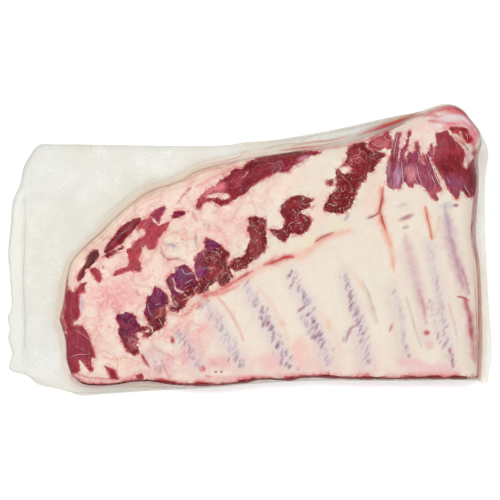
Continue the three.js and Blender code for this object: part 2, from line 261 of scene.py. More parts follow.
# Lean that shows between the fat: its colour, share of marbling, fibre direction in degrees, outline
LEAN = {
    "flank_strip": ((97, 24, 40), 0.0, 50, [
        (-151, -1), (-150, -6), (-154, -12), (-159, -17), (-163, -20), (-165, -26), (-168, -30),
        (-171, -32), (-172, -29), (-170, -22), (-166, -16), (-163, -10), (-159, -3), (-154, 0)]),
    "flank_blob": ((166, 66, 76), 0.1, 60, [
        (-159, -20), (-154, -18), (-151, -20), (-149, -24), (-148, -29), (-150, -33), (-153, -30),
        (-156, -26), (-159, -23)]),
    "flank_long": ((121, 34, 48), 0.05, 42, [
        (-108, 31), (-112, 23), (-118, 16), (-124, 10), (-128, 5), (-133, 3), (-136, 0), (-141, -3),
        (-145, -4), (-144, 2), (-140, 8), (-134, 14), (-130, 21), (-123, 26), (-116, 30)]),
    "flank_lip": ((120, 50, 62), 0.5, 25, [
        (-146, -7), (-143, -3), (-133, 0), (-127, 3), (-126, 1), (-133, -3), (-140, -8), (-144, -8)]),
    "belly_wedge": ((138, 58, 84), 0.1, 40, [
        (-99, 35), (-93, 40), (-84, 43), (-85, 38), (-89, 31), (-90, 25), (-94, 30), (-100, 34)]),
    "belly_blob": ((128, 34, 64), 0.0, 10, [
        (-77, 34), (-75, 38), (-71, 38), (-66, 38), (-62, 38), (-64, 35), (-68, 33), (-73, 31),
        (-77, 32)]),
    "red_branch": ((172, 72, 82), 0.25, 60, [
        (-110, 28), (-104, 30), (-99, 32), (-95, 27), (-90, 24), (-80, 28), (-83, 20), (-87, 15),
        (-92, 11), (-92, 8), (-94, 2), (-100, 0), (-103, 4), (-107, 2), (-108, -4), (-111, -8),
        (-110, -12), (-108, -18), (-110, -22), (-116, -21), (-123, -22), (-130, -25), (-136, -26),
        (-134, -22), (-130, -20), (-123, -17), (-120, -12), (-121, -6), (-123, 0), (-118, 2),
        (-116, 6), (-111, 10), (-106, 13), (-103, 18), (-108, 21), (-112, 19), (-111, 24)]),
    "end_muscle": ((148, 54, 69), 0.15, 84, [
        (-163, -33), (-165, -37), (-164, -40), (-170, -45), (-170, -50), (-170, -59), (-170, -67),
        (-176, -73), (-176, -76), (-168, -76), (-164, -80), (-160, -87), (-158, -94), (-156, -100),
        (-154, -108), (-158, -108), (-158, -116), (-156, -121), (-159, -122), (-164, -116),
        (-168, -112), (-170, -110), (-170, -117), (-170, -121), (-174, -124), (-179, -123),
        (-181, -119), (-183, -109), (-184, -96), (-184, -86), (-182, -79), (-186, -69), (-185, -60),
        (-184, -52), (-185, -46), (-181, -40), (-176, -42), (-171, -37), (-168, -34)]),
    "low_wedge": ((140, 40, 56), 0.1, 120, [
        (-145, -116), (-140, -118), (-134, -122), (-132, -127), (-130, -130), (-134, -130),
        (-139, -129), (-140, -124)]),
    "low_chip": ((142, 46, 60), 0.1, 60, [(-113, -126), (-107, -124), (-106, -129), (-110, -130)]),
    "square": ((112, 32, 50), 0.8, 70, [
        (-133, -66), (-128, -64), (-118, -63), (-114, -66), (-113, -70), (-110, -75), (-108, -77),
        (-100, -75), (-100, -79), (-106, -82), (-114, -84), (-111, -89), (-112, -96), (-110, -102),
        (-116, -105), (-121, -102), (-125, -97), (-129, -89), (-131, -82), (-130, -75), (-133, -70)]),
    "second": ((108, 32, 46), 0.9, 70, [
        (-95, -36), (-91, -38), (-85, -42), (-82, -46), (-81, -54), (-85, -56), (-83, -60), (-84, -69),
        (-85, -76), (-90, -80), (-94, -82), (-99, -86), (-106, -86), (-104, -83), (-99, -81),
        (-100, -76), (-103, -69), (-105, -64), (-104, -57), (-102, -50), (-103, -47), (-97, -45)]),
    "third": ((108, 33, 47), 0.9, 40, [
        (-69, -16), (-64, -15), (-60, -18), (-55, -23), (-52, -30), (-50, -36), (-55, -40), (-54, -45),
        (-60, -48), (-64, -56), (-68, -60), (-74, -62), (-80, -60), (-80, -56), (-75, -55), (-77, -49),
        (-80, -39), (-83, -32), (-80, -26), (-74, -23), (-73, -18)]),
    "fourth": ((104, 30, 44), 0.9, 30, [
        (-54, -8), (-50, -3), (-44, 1), (-45, 8), (-43, 12), (-38, 10), (-33, 7), (-28, 4), (-24, 0),
        (-20, -4), (-23, -10), (-21, -16), (-17, -26), (-20, -32), (-26, -36), (-34, -32), (-38, -36),
        (-43, -42), (-50, -44), (-55, -40), (-50, -34), (-53, -26), (-55, -17)]),
    "fifth": ((110, 33, 44), 0.7, 80, [
        (-1, 31), (6, 32), (16, 30), (17, 23), (16, 16), (17, 8), (16, 0), (10, -6), (6, -10), (0, -14),
        (-4, -19), (-10, -20), (-14, -21), (-20, -17), (-18, -12), (-14, -8), (-8, -8), (-4, -4),
        (-2, 4), (0, 12), (-2, 20), (0, 26)]),
    "sixth": ((112, 34, 46), 0.8, 60, [
        (31, 43), (36, 49), (42, 52), (50, 54), (57, 52), (63, 50), (60, 46), (63, 43), (57, 41),
        (52, 38), (54, 35), (61, 32), (60, 24), (56, 18), (50, 15), (42, 15), (38, 11), (35, 8),
        (30, 10), (26, 14), (21, 17), (20, 21), (26, 20), (32, 21), (35, 26), (34, 31), (31, 36)]),
    "seventh": ((112, 32, 42), 0.9, 70, [
        (97, 96), (100, 102), (107, 106), (116, 106), (117, 101), (124, 98), (132, 97), (136, 94),
        (130, 90), (126, 83), (123, 78), (118, 76), (116, 70), (109, 64), (106, 56), (104, 48),
        (99, 40), (92, 36), (84, 36), (76, 38), (74, 43), (76, 48), (80, 54), (86, 61), (86, 71),
        (87, 78), (90, 84), (94, 84), (96, 90)]),
    "seventh_dot": ((122, 44, 54), 0.5, 0, [(77, 68), (80, 70), (83, 68), (82, 64), (78, 64)]),
    "brisket": ((158, 56, 70), 0.15, 30, [
        (119, 107), (124, 111), (132, 114), (138, 118), (140, 113), (142, 104), (139, 100), (134, 101),
        (130, 98), (124, 99), (118, 103)]),
    "belly_muscle": ((134, 45, 56), 0.35, 30, [
        (-54, 44), (-52, 48), (-48, 54), (-41, 60), (-34, 64), (-28, 70), (-21, 74), (-16, 80),
        (-8, 81), (0, 88), (17, 94), (34, 97), (56, 99), (72, 97), (62, 93), (56, 90), (50, 86),
        (42, 83), (39, 78), (26, 76), (19, 73), (9, 68), (0, 60), (-10, 52), (-18, 48), (-24, 44),
        (-31, 44), (-38, 48), (-44, 47), (-48, 43), (-52, 40)]),
    "fan": ((150, 72, 98), 0.3, 84, [
        (147, 115.5), (143, 105.5), (140, 93.5), (136.5, 81.5), (136.5, 73.5), (138.5, 61.5),
        (150.5, 61.5), (152, 66.5), (155, 66.5), (159.5, 62.5), (163, 61.5), (164.5, 66), (170.5, 63.5),
        (174.5, 60.5), (180.5, 53.5), (185, 48), (188, 49.5), (186.5, 55.5), (190.5, 57.5),
        (190.5, 63.5), (187.5, 70.5), (184.5, 79.5), (182, 89.5), (183, 98), (181, 105), (178.5, 99.5),
        (175.5, 94.5), (171, 97), (168, 107), (165.5, 106), (164.5, 97.5), (159.5, 96.5), (157, 99.5),
        (158.5, 106.5), (161, 117), (158.5, 118.5), (156, 108), (152.5, 101.5), (150, 101), (149, 108),
        (151, 116)]),
    "breast_muscle": ((143, 50, 62), 0.05, 105, [
        (185, 114), (190, 117), (196, 118), (200, 113), (207, 106), (212, 100), (214, 93), (212, 84),
        (216, 80), (220, 88), (226, 90), (228, 84), (228, 71), (226, 56), (219, 52), (214, 56),
        (210, 59), (209, 54), (206, 50), (202, 54), (197, 60), (194, 66), (190, 73), (186, 80),
        (183, 88), (184, 98), (186, 106)]),
    "marrow": ((158, 42, 56), 0.4, 20, [
        (198, 120), (207, 122), (216, 120), (219, 114), (222, 108), (217, 106), (212, 111), (206, 115),
        (200, 117)]),
}
# Windows of fat inside the lean
FAT_WINDOWS = [
    [(90, 82), (96, 84), (102, 81), (102, 77), (96, 76), (91, 77)],
    [(-42, 54), (-34, 56), (-23, 56), (-20, 53), (-26, 50), (-34, 52), (-41, 51)],
]
# Streaks of fat and sinew between the lean: width at the start and the end, colour and course
FAT_STREAKS = [
    (3.4, 1.4, (240, 212, 196), [(-113.5, -64.5), (-109, -69), (-104, -73), (-99, -77.5), (-96.5, -81)]),
    (1.4, 2.6, (238, 220, 212), [(-76, -29.5), (-74.5, -34), (-74.5, -37), (-72, -40.5), (-67, -42.5)]),
    (3.4, 0.8, (240, 214, 198), [(154, 119.5), (154, 113.5), (152.5, 107), (150, 99.5), (148.5, 92),
                                 (148, 86)]),
    (3.8, 1.0, (238, 214, 200), [(164, 105.5), (160, 101), (156.5, 96.5), (155, 92.5), (156.5, 89.5)]),
    (2.8, 0.8, (240, 216, 202), [(170, 103.5), (170.5, 96.5), (172, 90.5), (174, 84.5)]),
    (1.0, 5.6, (241, 219, 200), [(179.5, 92), (181.5, 86.5), (184.5, 80.5), (188, 73.5), (191.5, 67),
                                 (196, 58)]),
    (2.2, 3.4, (244, 216, 202), [(-43, 52.5), (-34.5, 55), (-24.5, 54.5), (-21, 52)]),
]
# Places where shiny silverskin lies over the lean and turns it purple
SILVERSKIN = [
    [(-134, -65), (-118, -62), (-112, -70), (-108, -76), (-114, -83), (-124, -88), (-131, -86)],
    [(-97, -34), (-86, -42), (-81, -50), (-83, -56), (-93, -60), (-98, -68), (-104, -66), (-104, -52)],
    [(-70, -14), (-60, -16), (-53, -26), (-56, -36), (-64, -36), (-66, -44), (-74, -48), (-82, -36),
     (-80, -26), (-72, -20)],
    [(-45, 13), (-38, 11), (-30, 5), (-38, -1), (-44, -4), (-52, -16), (-42, -18), (-44, -26),
     (-52, -28), (-56, -14), (-50, -4), (-44, 2)],
    [(185, 72), (200, 72), (222, 76), (227, 56), (214, 52), (206, 48), (196, 60)],
    [(135, 84), (141, 84), (150, 82), (152, 62), (142, 60), (136, 68)],
]


def box_round(x, y, line, reach):
    """Which points lie in the box round a line, widened by reach."""
    return ((x > line[:, 0].min() - reach) & (x < line[:, 0].max() + reach)
            & (y > line[:, 1].min() - reach) & (y < line[:, 1].max() + reach))


def inside_by(x, y, outline, reach=9.0):
    """How far each point lies inside a rounded outline, in millimetres; outside is negative."""
    line = smooth_line(outline, closed=True, per_span=4)
    ring = np.vstack([line, line[:1]])
    found = np.full(x.shape, -reach)
    near = box_round(x, y, line, reach)
    px, py = x[near], y[near]
    odd = np.zeros(px.shape, bool)
    for (ax, ay), (bx, by) in zip(ring[:-1], ring[1:]):
        if ay != by:
            odd ^= ((ay > py) != (by > py)) & (px < (bx - ax) * (py - ay) / (by - ay) + ax)
    far = distance_to(px, py, ring)
    found[near] = np.clip(np.where(odd, far, -far), -reach, reach)
    return found


def along_course(x, y, course, reach):
    """The points within reach of a course: which they are, how far off, and how far along it (0 to 1)."""
    line = smooth_line(course, per_span=5)
    near = box_round(x, y, line, reach)
    x, y = x[near], y[near]
    way = way_along(line)
    away, share = np.full(x.shape, 1e9), np.zeros(x.shape)
    for k, ((ax, ay), (bx, by)) in enumerate(zip(line[:-1], line[1:])):
        dx, dy = bx - ax, by - ay
        along = np.clip(((x - ax) * dx + (y - ay) * dy) / max(dx * dx + dy * dy, 1e-9), 0, 1)
        gap = np.hypot(x - ax - along * dx, y - ay - along * dy)
        closer = gap < away
        away[closer] = gap[closer]
        share[closer] = ((way[k] + along * (way[k + 1] - way[k])) / way[-1])[closer]
    return near, away, share


# How bright the scene's light makes white paper, in red, green and blue: above full white, so that the
# floor is white. GLOSS is what reflections add
LIGHT = np.array((1.36, 1.31, 1.29))
GLOSS = 0.016


def seen(colour):
    """The reflectance that looks like this colour, given from 0 to 255, under the light and gloss."""
    share = np.array(colour, float) / 255
    linear = np.where(share <= 0.04045, share / 12.92, ((share + 0.055) / 1.055) ** 2.4)
    return np.maximum(linear - GLOSS, 0.003) / LIGHT


def tint(layer, colour, share):
    """Mixes one colour into a layer, by a share at each point."""
    layer += (seen(colour) - layer) * share[..., None]


px, py = plan[..., 0], plan[..., 1]
lean = np.full(px.shape, -9.0)
lean_colour = np.zeros(px.shape + (3,)) + seen((120, 40, 52))
marbled = np.zeros(px.shape)
fibre_turn = np.zeros(px.shape)
for colour, marbling, turn, outline in LEAN.values():
    depth = inside_by(px, py, outline)
    nearer = depth > lean
    lean = np.maximum(lean, depth)
    lean_colour[nearer] = seen(colour)
    marbled[nearer] = marbling
    fibre_turn[nearer] = turn
for outline in FAT_WINDOWS:
    lean = np.minimum(lean, -inside_by(px, py, outline))
for start_width, end_width, _, course in FAT_STREAKS:
    near, away, share = along_course(px, py, course, 9)
    lean[near] = np.minimum(lean[near], away - 0.5 * (start_width + (end_width - start_width) * share))
silver = np.max([inside_by(px, py, outline) for outline in SILVERSKIN], axis=0)
silver = ease(silver + 1.2 * waves(px, py, 3, 14), -1.0, 1.0)
tint(lean_colour, (112, 26, 72), 0.9 * silver * (marbled > 0.6))

# Along the saw cut a thin dark line, partly the lean of the cut and partly painted shade under its edge,
# thicker where the soft muscle between two ribs bulges past the bone
BULGES = (-82, -49, -3, 41.5, 80, 116, 160, 184, 207)
bulging = np.max([np.exp(-((px - x) / 9) ** 2) for x in BULGES], axis=0)
from_cut = np.hypot(px - plan[:1, :, 0], py - plan[:1, :, 1])
cut_and_shade_line = 0.5 + 1.9 * bulging + 0.8 * waves(px, py, 5, 46) - from_cut
# Dark red along the cut: partly lean, partly painted shade
lean_colour[cut_and_shade_line > lean] = seen((112, 32, 38))
lean = np.maximum(lean, cut_and_shade_line * ease(px, -182, -165))

# The shape under the colours: lumps in the fat, lean that stands proud where it was cut across, and a
# fine step where lean and fat meet
fat_share = ease(-lean, -0.5, 1.5)
lumps = 0.75 * waves(px, py, 13, 1) + 0.4 * waves(px, py, 6.5, 2) + 0.18 * waves(px, py, 3, 3)
smooth_side = ease(px - 0.5 * py, -40, 40)
soft = fat_share * (1 - 0.85 * smooth_side)
crease = (1 - np.abs(waves(px, py, 17, 41) + 0.4 * waves(px, py, 9, 42))) ** 5
surface = form - 1.6 + (0.2 + 0.6 * (marbled > 0.6)) * ease(lean, -1.0, 4.5)
surface += (lumps - 0.7 * crease) * soft
from_rim = np.hypot(px - plan[-1:, :, 0], py - plan[-1:, :, 1])
surface += 0.35 * np.sin(from_rim * 1.5 + 2 * waves(px, py, 30, 4)) * np.exp(-(from_rim / 9) ** 2)
surface = np.minimum(surface, form - 0.1)

# Colour of the fat and membrane: cream, pinker towards the flank and the saw cut, and layered along the
# belly edge. Over the ribs a paler cream on the ridges is a painted highlight, and a greyer pink in the
# grooves between them is painted shade
pinker = ease(-px + 0.6 * py, -20, 110)[..., None]
fat_colour = seen((238, 223, 206)) * (1 - pinker) + seen((246, 214, 198)) * pinker
tint(fat_colour, (236, 200, 193), 0.7 * ease(-py, 78, 125) * ease(-px, -215, -120))
valley = np.min([distance_to(px, py, line) for line in BETWEEN_RIBS], axis=0)
# Painted highlight: paler cream on the rib ridges, away from the grooves
tint(fat_colour, (243, 230, 212), 0.5 * ease(valley, 7, 17) * ease(-py + 0.4 * px, 20, 60))
# Painted shade: greyer pink along the grooves between the ribs
tint(fat_colour, (226, 206, 198), 0.45 * np.exp(-(valley / 8) ** 2) * ease(-py + 0.4 * px, 10, 50))
# Layers of fat and skin along the belly edge: distance from the edge and colour
RIM_LAYERS = [
    (0, (232, 200, 170)), (1.5, (250, 230, 206)), (3.2, (244, 204, 182)), (5, (250, 230, 208)),
    (7.5, (244, 202, 184)), (9.5, (248, 224, 206)), (12, (246, 214, 198)),
]
layer = from_rim + 1.6 * waves(px, py, 22, 5) + 0.8 * waves(px, py, 9, 13)
layered = np.stack([np.interp(layer, [reach for reach, _ in RIM_LAYERS], shade)
                    for shade in np.array([seen(colour) for _, colour in RIM_LAYERS]).T], -1)
rim_share = (np.exp(-(from_rim / 13) ** 4) * ease(-px, -40, 30))[..., None]
fat_colour += (layered - fat_colour) * 0.9 * rim_share

# Soft dabs on the fat: centre, half sizes, turn in degrees, colour and strength
FAT_DABS = [
    (-134, -48, 26, 17, 10, (240, 166, 170), 0.8), (-118, -30, 18, 9, 0, (241, 184, 180), 0.6),
    (-168, -54, 4, 9, 10, (196, 178, 196), 0.7), (-150, -90, 10, 24, 10, (241, 205, 190), 0.7),
    (-80, -112, 7, 12, -20, (232, 160, 166), 0.55), (-45, -84, 12, 26, -24, (241, 190, 184), 0.6),
    (-66, -78, 9, 9, 0, (240, 180, 176), 0.6), (-30, -112, 12, 9, 0, (230, 150, 158), 0.5),
    (-20, 26, 22, 20, 0, (244, 196, 186), 0.6), (-30, 10, 10, 16, 0, (246, 200, 190), 0.5),
    (-74, -2, 16, 12, 0, (238, 224, 204), 0.8), (-74, 14, 14, 11, 0, (240, 222, 200), 0.7),
    (56, 4, 20, 12, 20, (238, 226, 194), 0.55), (90, 22, 12, 8, 20, (236, 226, 196), 0.6),
    (70, 40, 12, 22, -20, (243, 208, 192), 0.5), (20, -112, 18, 10, 0, (240, 188, 184), 0.6),
    (58, -116, 16, 10, 0, (240, 192, 188), 0.5), (118, -30, 26, 30, 0, (237, 224, 207), 0.6),
    (150, 20, 20, 14, 0, (240, 226, 208), 0.7), (186, -120, 30, 8, 0, (238, 192, 192), 0.7),
    (210, 128, 26, 14, -20, (243, 202, 196), 0.8), (186, 128, 16, 8, 20, (240, 190, 186), 0.6),
    (164, 104, 20, 26, 0, (238, 208, 200), 0.7), (124, 60, 10, 30, -20, (244, 212, 192), 0.6),
    (24, 60, 40, 12, 24, (245, 219, 200), 0.7), (-96, -124, 26, 6, 0, (238, 190, 184), 0.5),
    (-131, -116, 14, 12, 0, (244, 206, 184), 0.6), (-34, 38, 5, 1.6, 20, (160, 150, 176), 0.5),
    (-46, 26, 1.3, 4, 30, (120, 112, 150), 0.6), (-40, 24, 1.2, 4, 40, (160, 150, 174), 0.5),
    (-78, 4, 9, 3, -10, (188, 176, 192), 0.6), (-81, -10, 2.2, 1.7, 0, (84, 30, 42), 0.9),
    (97, 32, 2, 5, -30, (150, 136, 160), 0.6), (119, 32, 4, 2.4, 20, (166, 140, 150), 0.6),
    (156, 32, 9, 2.6, 22, (178, 118, 130), 0.8), (152, 44, 7, 2.2, 12, (204, 176, 182), 0.6),
    (155, 22, 4, 1.8, 20, (176, 134, 142), 0.6), (177, -83, 3.2, 3, 0, (198, 70, 92), 0.9),
    (180, -95, 5, 5, 40, (228, 176, 182), 0.6), (205, 44, 3.6, 2.2, 10, (146, 60, 88), 0.9),
    (197, 44, 8, 4, 0, (196, 190, 200), 0.6), (224, 96, 3.5, 3, 0, (84, 22, 32), 0.9),
    (-146, -18, 1.8, 1.8, 0, (150, 40, 60), 0.9), (37, -8, 9, 3, 12, (196, 90, 96), 0.6),
    (74, 12, 10, 3.4, 24, (226, 150, 130), 0.6), (50, -100, 9, 15, 0, (247, 192, 182), 0.7),
    (33, -74, 3.2, 4, 0, (240, 186, 162), 0.7), (79, -76, 3.2, 8, 10, (240, 192, 168), 0.6),
    (57, -51, 4.4, 4.4, 0, (178, 142, 172), 0.6), (18, -74, 3.4, 3.2, 0, (186, 145, 175), 0.7),
    (4, -53, 2.6, 4.4, 0, (188, 148, 170), 0.6), (32, -114, 2.2, 2.2, 0, (180, 128, 168), 0.8),
    (156, -97, 2.2, 2, 0, (168, 128, 160), 0.7), (159, -106, 1.6, 2.2, 0, (150, 110, 150), 0.8),
    (-47, -119, 3.0, 4.0, 0, (206, 60, 84), 0.9), (-105, -110, 2.4, 7, 24, (176, 40, 66), 0.8),
    (-60, -102, 10, 16, -20, (242, 168, 170), 0.55), (-93, -118, 3, 8, 20, (206, 90, 104), 0.7),
    (-28, -122, 1.2, 1.2, 0, (110, 34, 52), 0.9),
    (-33.5, -122, 1.2, 1.4, 0, (104, 24, 46), 0.95), (-77, -90, 3.0, 5.0, 10, (176, 20, 48), 0.95),
    (160, -112, 14, 5, 0, (238, 186, 190), 0.6), (-10, -128, 40, 3, 0, (232, 150, 156), 0.45),
    (222, 0, 5, 40, 4, (241, 216, 196), 0.7), (170, 128, 12, 5, 10, (243, 214, 200), 0.7),
    (206, 137, 16, 5, -12, (228, 112, 126), 0.9), (186, 135, 11, 5, 14, (248, 218, 208), 0.8),
    (217, 130, 9, 6, -45, (230, 118, 130), 0.9), (223, 112, 8, 10, -20, (234, 128, 142), 0.85),
    (212, 112, 9, 6, -35, (212, 84, 98), 0.6), (199, 122, 9, 3, 10, (226, 116, 126), 0.7),
    (165, 118, 16, 8, 0, (244, 214, 204), 0.8), (216, 93, 6, 8, -20, (236, 176, 184), 0.8),
]
# The same on the lean: darker, browner, paler and purple places within the patches
LEAN_DABS = [
    (-122, -72, 9, 9, 0, (104, 22, 72), 0.9), (-128, -81, 6, 6, 0, (86, 16, 46), 0.8),
    (-115, -93, 7, 7, 0, (172, 124, 128), 0.75), (-91, -43, 7, 7, 0, (114, 30, 84), 0.7),
    (-95, -51, 5, 4, 0, (126, 66, 92), 0.7), (-88, -62, 7, 5, 0, (148, 92, 84), 0.7),
    (-91, -80, 8, 5, 0, (116, 42, 50), 0.7), (-70, -26, 9, 9, 0, (110, 36, 94), 0.6),
    (-81, -38, 3, 10, 0, (108, 24, 52), 0.8), (-68, -48, 8, 6, 30, (124, 46, 54), 0.6),
    (-38, 7, 7, 6, 0, (110, 40, 86), 0.7), (-49, -12, 4, 8, -20, (122, 28, 58), 0.8),
    (-49, -22, 5, 6, 0, (124, 54, 108), 0.8), (-34, -23, 10, 8, 30, (154, 88, 84), 0.7),
    (-37, -9, 8, 5, 0, (126, 54, 60), 0.6), (6, 5, 8, 18, 0, (148, 90, 84), 0.6),
    (-8, -13, 7, 5, 0, (116, 38, 48), 0.6), (11, 24, 6, 6, 0, (124, 44, 54), 0.6),
    (42, 46, 10, 6, 10, (140, 66, 66), 0.5), (48, 28, 9, 8, 0, (128, 42, 58), 0.6),
    (34, 14, 7, 5, 0, (118, 26, 56), 0.6), (106, 92, 9, 10, 0, (160, 88, 92), 0.6),
    (112, 78, 10, 8, 0, (132, 56, 62), 0.5), (88, 46, 12, 9, 0, (106, 22, 38), 0.7),
    (124, 94, 5, 8, 20, (104, 22, 38), 0.8), (146, 106, 3, 8, 0, (142, 64, 86), 0.7),
    (144, 93, 3, 8, 0, (120, 40, 60), 0.8), (138.5, 81, 3.2, 12, 0, (166, 120, 134), 0.85),
    (145, 68, 6, 8, 0, (190, 134, 156), 0.85), (148, 75, 3.5, 7, 0, (190, 144, 166), 0.7),
    (159, 106, 3, 7, 0, (158, 86, 102), 0.8), (159, 86, 3.4, 5, 0, (124, 50, 72), 0.8),
    (161, 76, 6, 9, 0, (210, 150, 152), 0.85), (168, 101, 3, 6, 0, (166, 104, 108), 0.8),
    (178, 76, 4, 6, 30, (152, 84, 102), 0.7), (178, 90, 4, 5, 0, (130, 50, 66), 0.7),
    (184, 59, 4, 6, 20, (182, 96, 100), 0.8), (186, 50, 3, 4, 0, (150, 84, 96), 0.8),
    (193, 105, 9, 9, 0, (152, 58, 64), 0.8), (202, 92, 8, 9, 0, (126, 32, 44), 0.8),
    (191, 89, 4, 7, 20, (116, 28, 44), 0.8), (202, 81, 12, 6, 0, (118, 26, 40), 0.8),
    (203, 66, 20, 9, -6, (138, 74, 98), 0.85), (207, 56, 10, 5, 0, (126, 56, 82), 0.8),
    (222, 74, 5, 18, 0, (116, 32, 42), 0.9), (206, 97, 5, 5, 0, (154, 54, 60), 0.7),
    (-49, 53, 7, 6, 0, (190, 98, 114), 0.8), (-41, 57, 6, 5, 30, (214, 130, 144), 0.8),
    (-30, 62, 8, 6, 30, (228, 140, 144), 0.85), (-10, 66, 8, 7, 20, (160, 72, 90), 0.6),
    (8, 85, 26, 4, 12, (108, 22, 34), 0.9), (44, 95, 22, 3.4, 6, (116, 26, 38), 0.9),
    (10, 73, 10, 8, 0, (128, 56, 64), 0.6), (26, 82, 8, 5, 10, (144, 88, 100), 0.7),
    (56, 91, 9, 3.4, 20, (204, 162, 182), 0.8), (0, 66, 16, 5, 30, (118, 32, 48), 0.7),
    (130, 106, 9, 7, 0, (212, 128, 132), 0.6), (126, 101, 6, 3, 0, (150, 40, 50), 0.7),
    (-170, -112, 8, 9, 0, (168, 66, 78), 0.6), (-163, -104, 8, 9, 0, (138, 46, 62), 0.6),
    (-176, -88, 6, 12, 0, (160, 66, 80), 0.6), (-172, -60, 5, 12, 0, (140, 44, 60), 0.6),
]


def dab(layer, cx, cy, half_x, half_y, turn, colour, strength):
    """Lays one soft patch of colour on a layer."""
    c, s = np.cos(np.radians(turn)), np.sin(np.radians(turn))
    away = np.hypot(((px - cx) * c + (py - cy) * s) / half_x, ((py - cy) * c - (px - cx) * s) / half_y)
    away = away + 0.22 * waves(px, py, 5, 6)
    tint(layer, colour, strength * ease(-away, -1.3, -0.4))


def stroke(layer, course, width, colour, strength):
    """Lays one soft stroke of colour along a course, finer towards its ends and a little uneven."""
    near, away, share = along_course(px, py, course, 3 * width + 2)
    x, y = px[near], py[near]
    half = width * (0.35 + 0.65 * np.sin(np.pi * share) ** 0.5) * (1 + 0.35 * waves(x, y, 3.5, 7))
    weight = strength * np.exp(-(away / half) ** 2) * (0.8 + 0.2 * waves(x, y, 6, 15))
    layer[near] += (seen(colour) - layer[near]) * weight[:, None]


for patch in FAT_DABS:
    dab(fat_colour, *patch)
from_breast = np.hypot(px - plan[:, -1:, 0], py - plan[:, -1:, 1])
blood_line = np.exp(-(from_breast / 1.9) ** 2) * ease(110 - py, 0, 12)
blood_line *= 0.95 + 0.5 * waves(px, py, 7, 44)
redder = ease(py + 12 * waves(px, py, 30, 45), -40, 20)[..., None]
edge_red = seen((214, 120, 92)) * (1 - redder) + seen((176, 52, 62)) * redder
fat_colour += (edge_red - fat_colour) * np.clip(blood_line, 0, 1)[..., None]
flush = np.exp(-(from_cut / 5) ** 2) * np.clip(0.45 + 0.7 * waves(px, py, 11, 46), 0, 1)
tint(fat_colour, (214, 104, 108), flush)
# Painted light that follows the lumps: pinker in their hollows, partly the fat's own mottling and partly
# painted shade, and paler cream on their tops, a painted highlight
tint(fat_colour, (240, 168, 160), 0.34 * soft * ease(-lumps, 0.1, 1.0))
tint(fat_colour, (250, 228, 212), 0.45 * soft * ease(lumps, 0.05, 0.8))
# Darker red along the creases, partly the fat's own colour and partly painted shade
tint(fat_colour, (206, 92, 100), 0.3 * soft * crease)
for patch in LEAN_DABS:
    dab(lean_colour, *patch)

# Between its threads of fat, marbled lean is darker than it looks from afar
lean_colour *= 1 - marbled[..., None] * (1 - silver[..., None]) * (-0.12, 0.66, 0.56)

# Bands where the muscle between the ribs shows through the membrane: course, half width, strength.
# Each is a lilac haze with short slanting strokes, the ends of the muscle's bundles of fibre
BANDS = [
    ([(-98, -106), (-89, -122)], 5.0, 0.6), ([(-72, -82), (-62, -95), (-56, -108), (-49, -118)], 3.6, 0.8),
    ([(-46, -50), (-36, -66), (-25, -82), (-19, -96), (-11, -110), (-7, -118)], 4.2, 0.9),
    ([(-7, -31), (3, -48), (12, -62), (20, -77), (27, -91), (34, -107), (39, -118)], 4.2, 1.0),
    ([(42, -22), (48, -39), (55, -48), (59, -56), (65, -75), (73, -92), (80, -116)], 4.4, 1.0),
    ([(95, -25), (101, -46), (107, -65), (112, -83), (117, -116)], 4.0, 0.9),
    ([(49, -60), (56, -75), (63, -89)], 2.8, 0.5), ([(100, -80), (95, -92)], 2.4, 0.5),
    ([(144, -41), (150, -60), (155, -96), (159, -106)], 2.2, 0.4),
    ([(180, 5), (185, -30), (190, -56), (196, -86), (202, -112)], 3.0, 0.6),
    ([(182, -52), (184, -74), (190, -92)], 2.2, 0.5),
]
BUNDLE_HUES = [(156, 98, 124), (136, 90, 126), (174, 138, 160), (154, 134, 158), (124, 70, 98)]
strewn = np.random.default_rng(17)
for course, half_width, strength in BANDS:
    stroke(fat_colour, course, 1.7 * half_width, (226, 208, 212), 0.75 * strength)
    line = smooth_line(course)
    for x, y in spread(line, int(np.hypot(*np.diff(line, axis=0).T).sum() / 0.9)):
        turn = np.radians(60 + strewn.normal(0, 8))
        half_long, width = strewn.uniform(1.3, 3.2), strewn.uniform(0.7, 1.2)
        x, y = x + strewn.normal(0, 0.75 * half_width), y + strewn.normal(0, 0.8)
        run, climb = half_long * np.cos(turn), half_long * np.sin(turn)
        hue = BUNDLE_HUES[strewn.integers(len(BUNDLE_HUES))]
        fading = 0.35 + 0.65 * ease(waves(np.array(x), np.array(y), 16, 47), -0.6, 0.5)
        stroke(fat_colour, [(x - run, y - climb), (x + run, y + climb)], width, hue,
               strength * fading * strewn.uniform(0.25, 1.0))

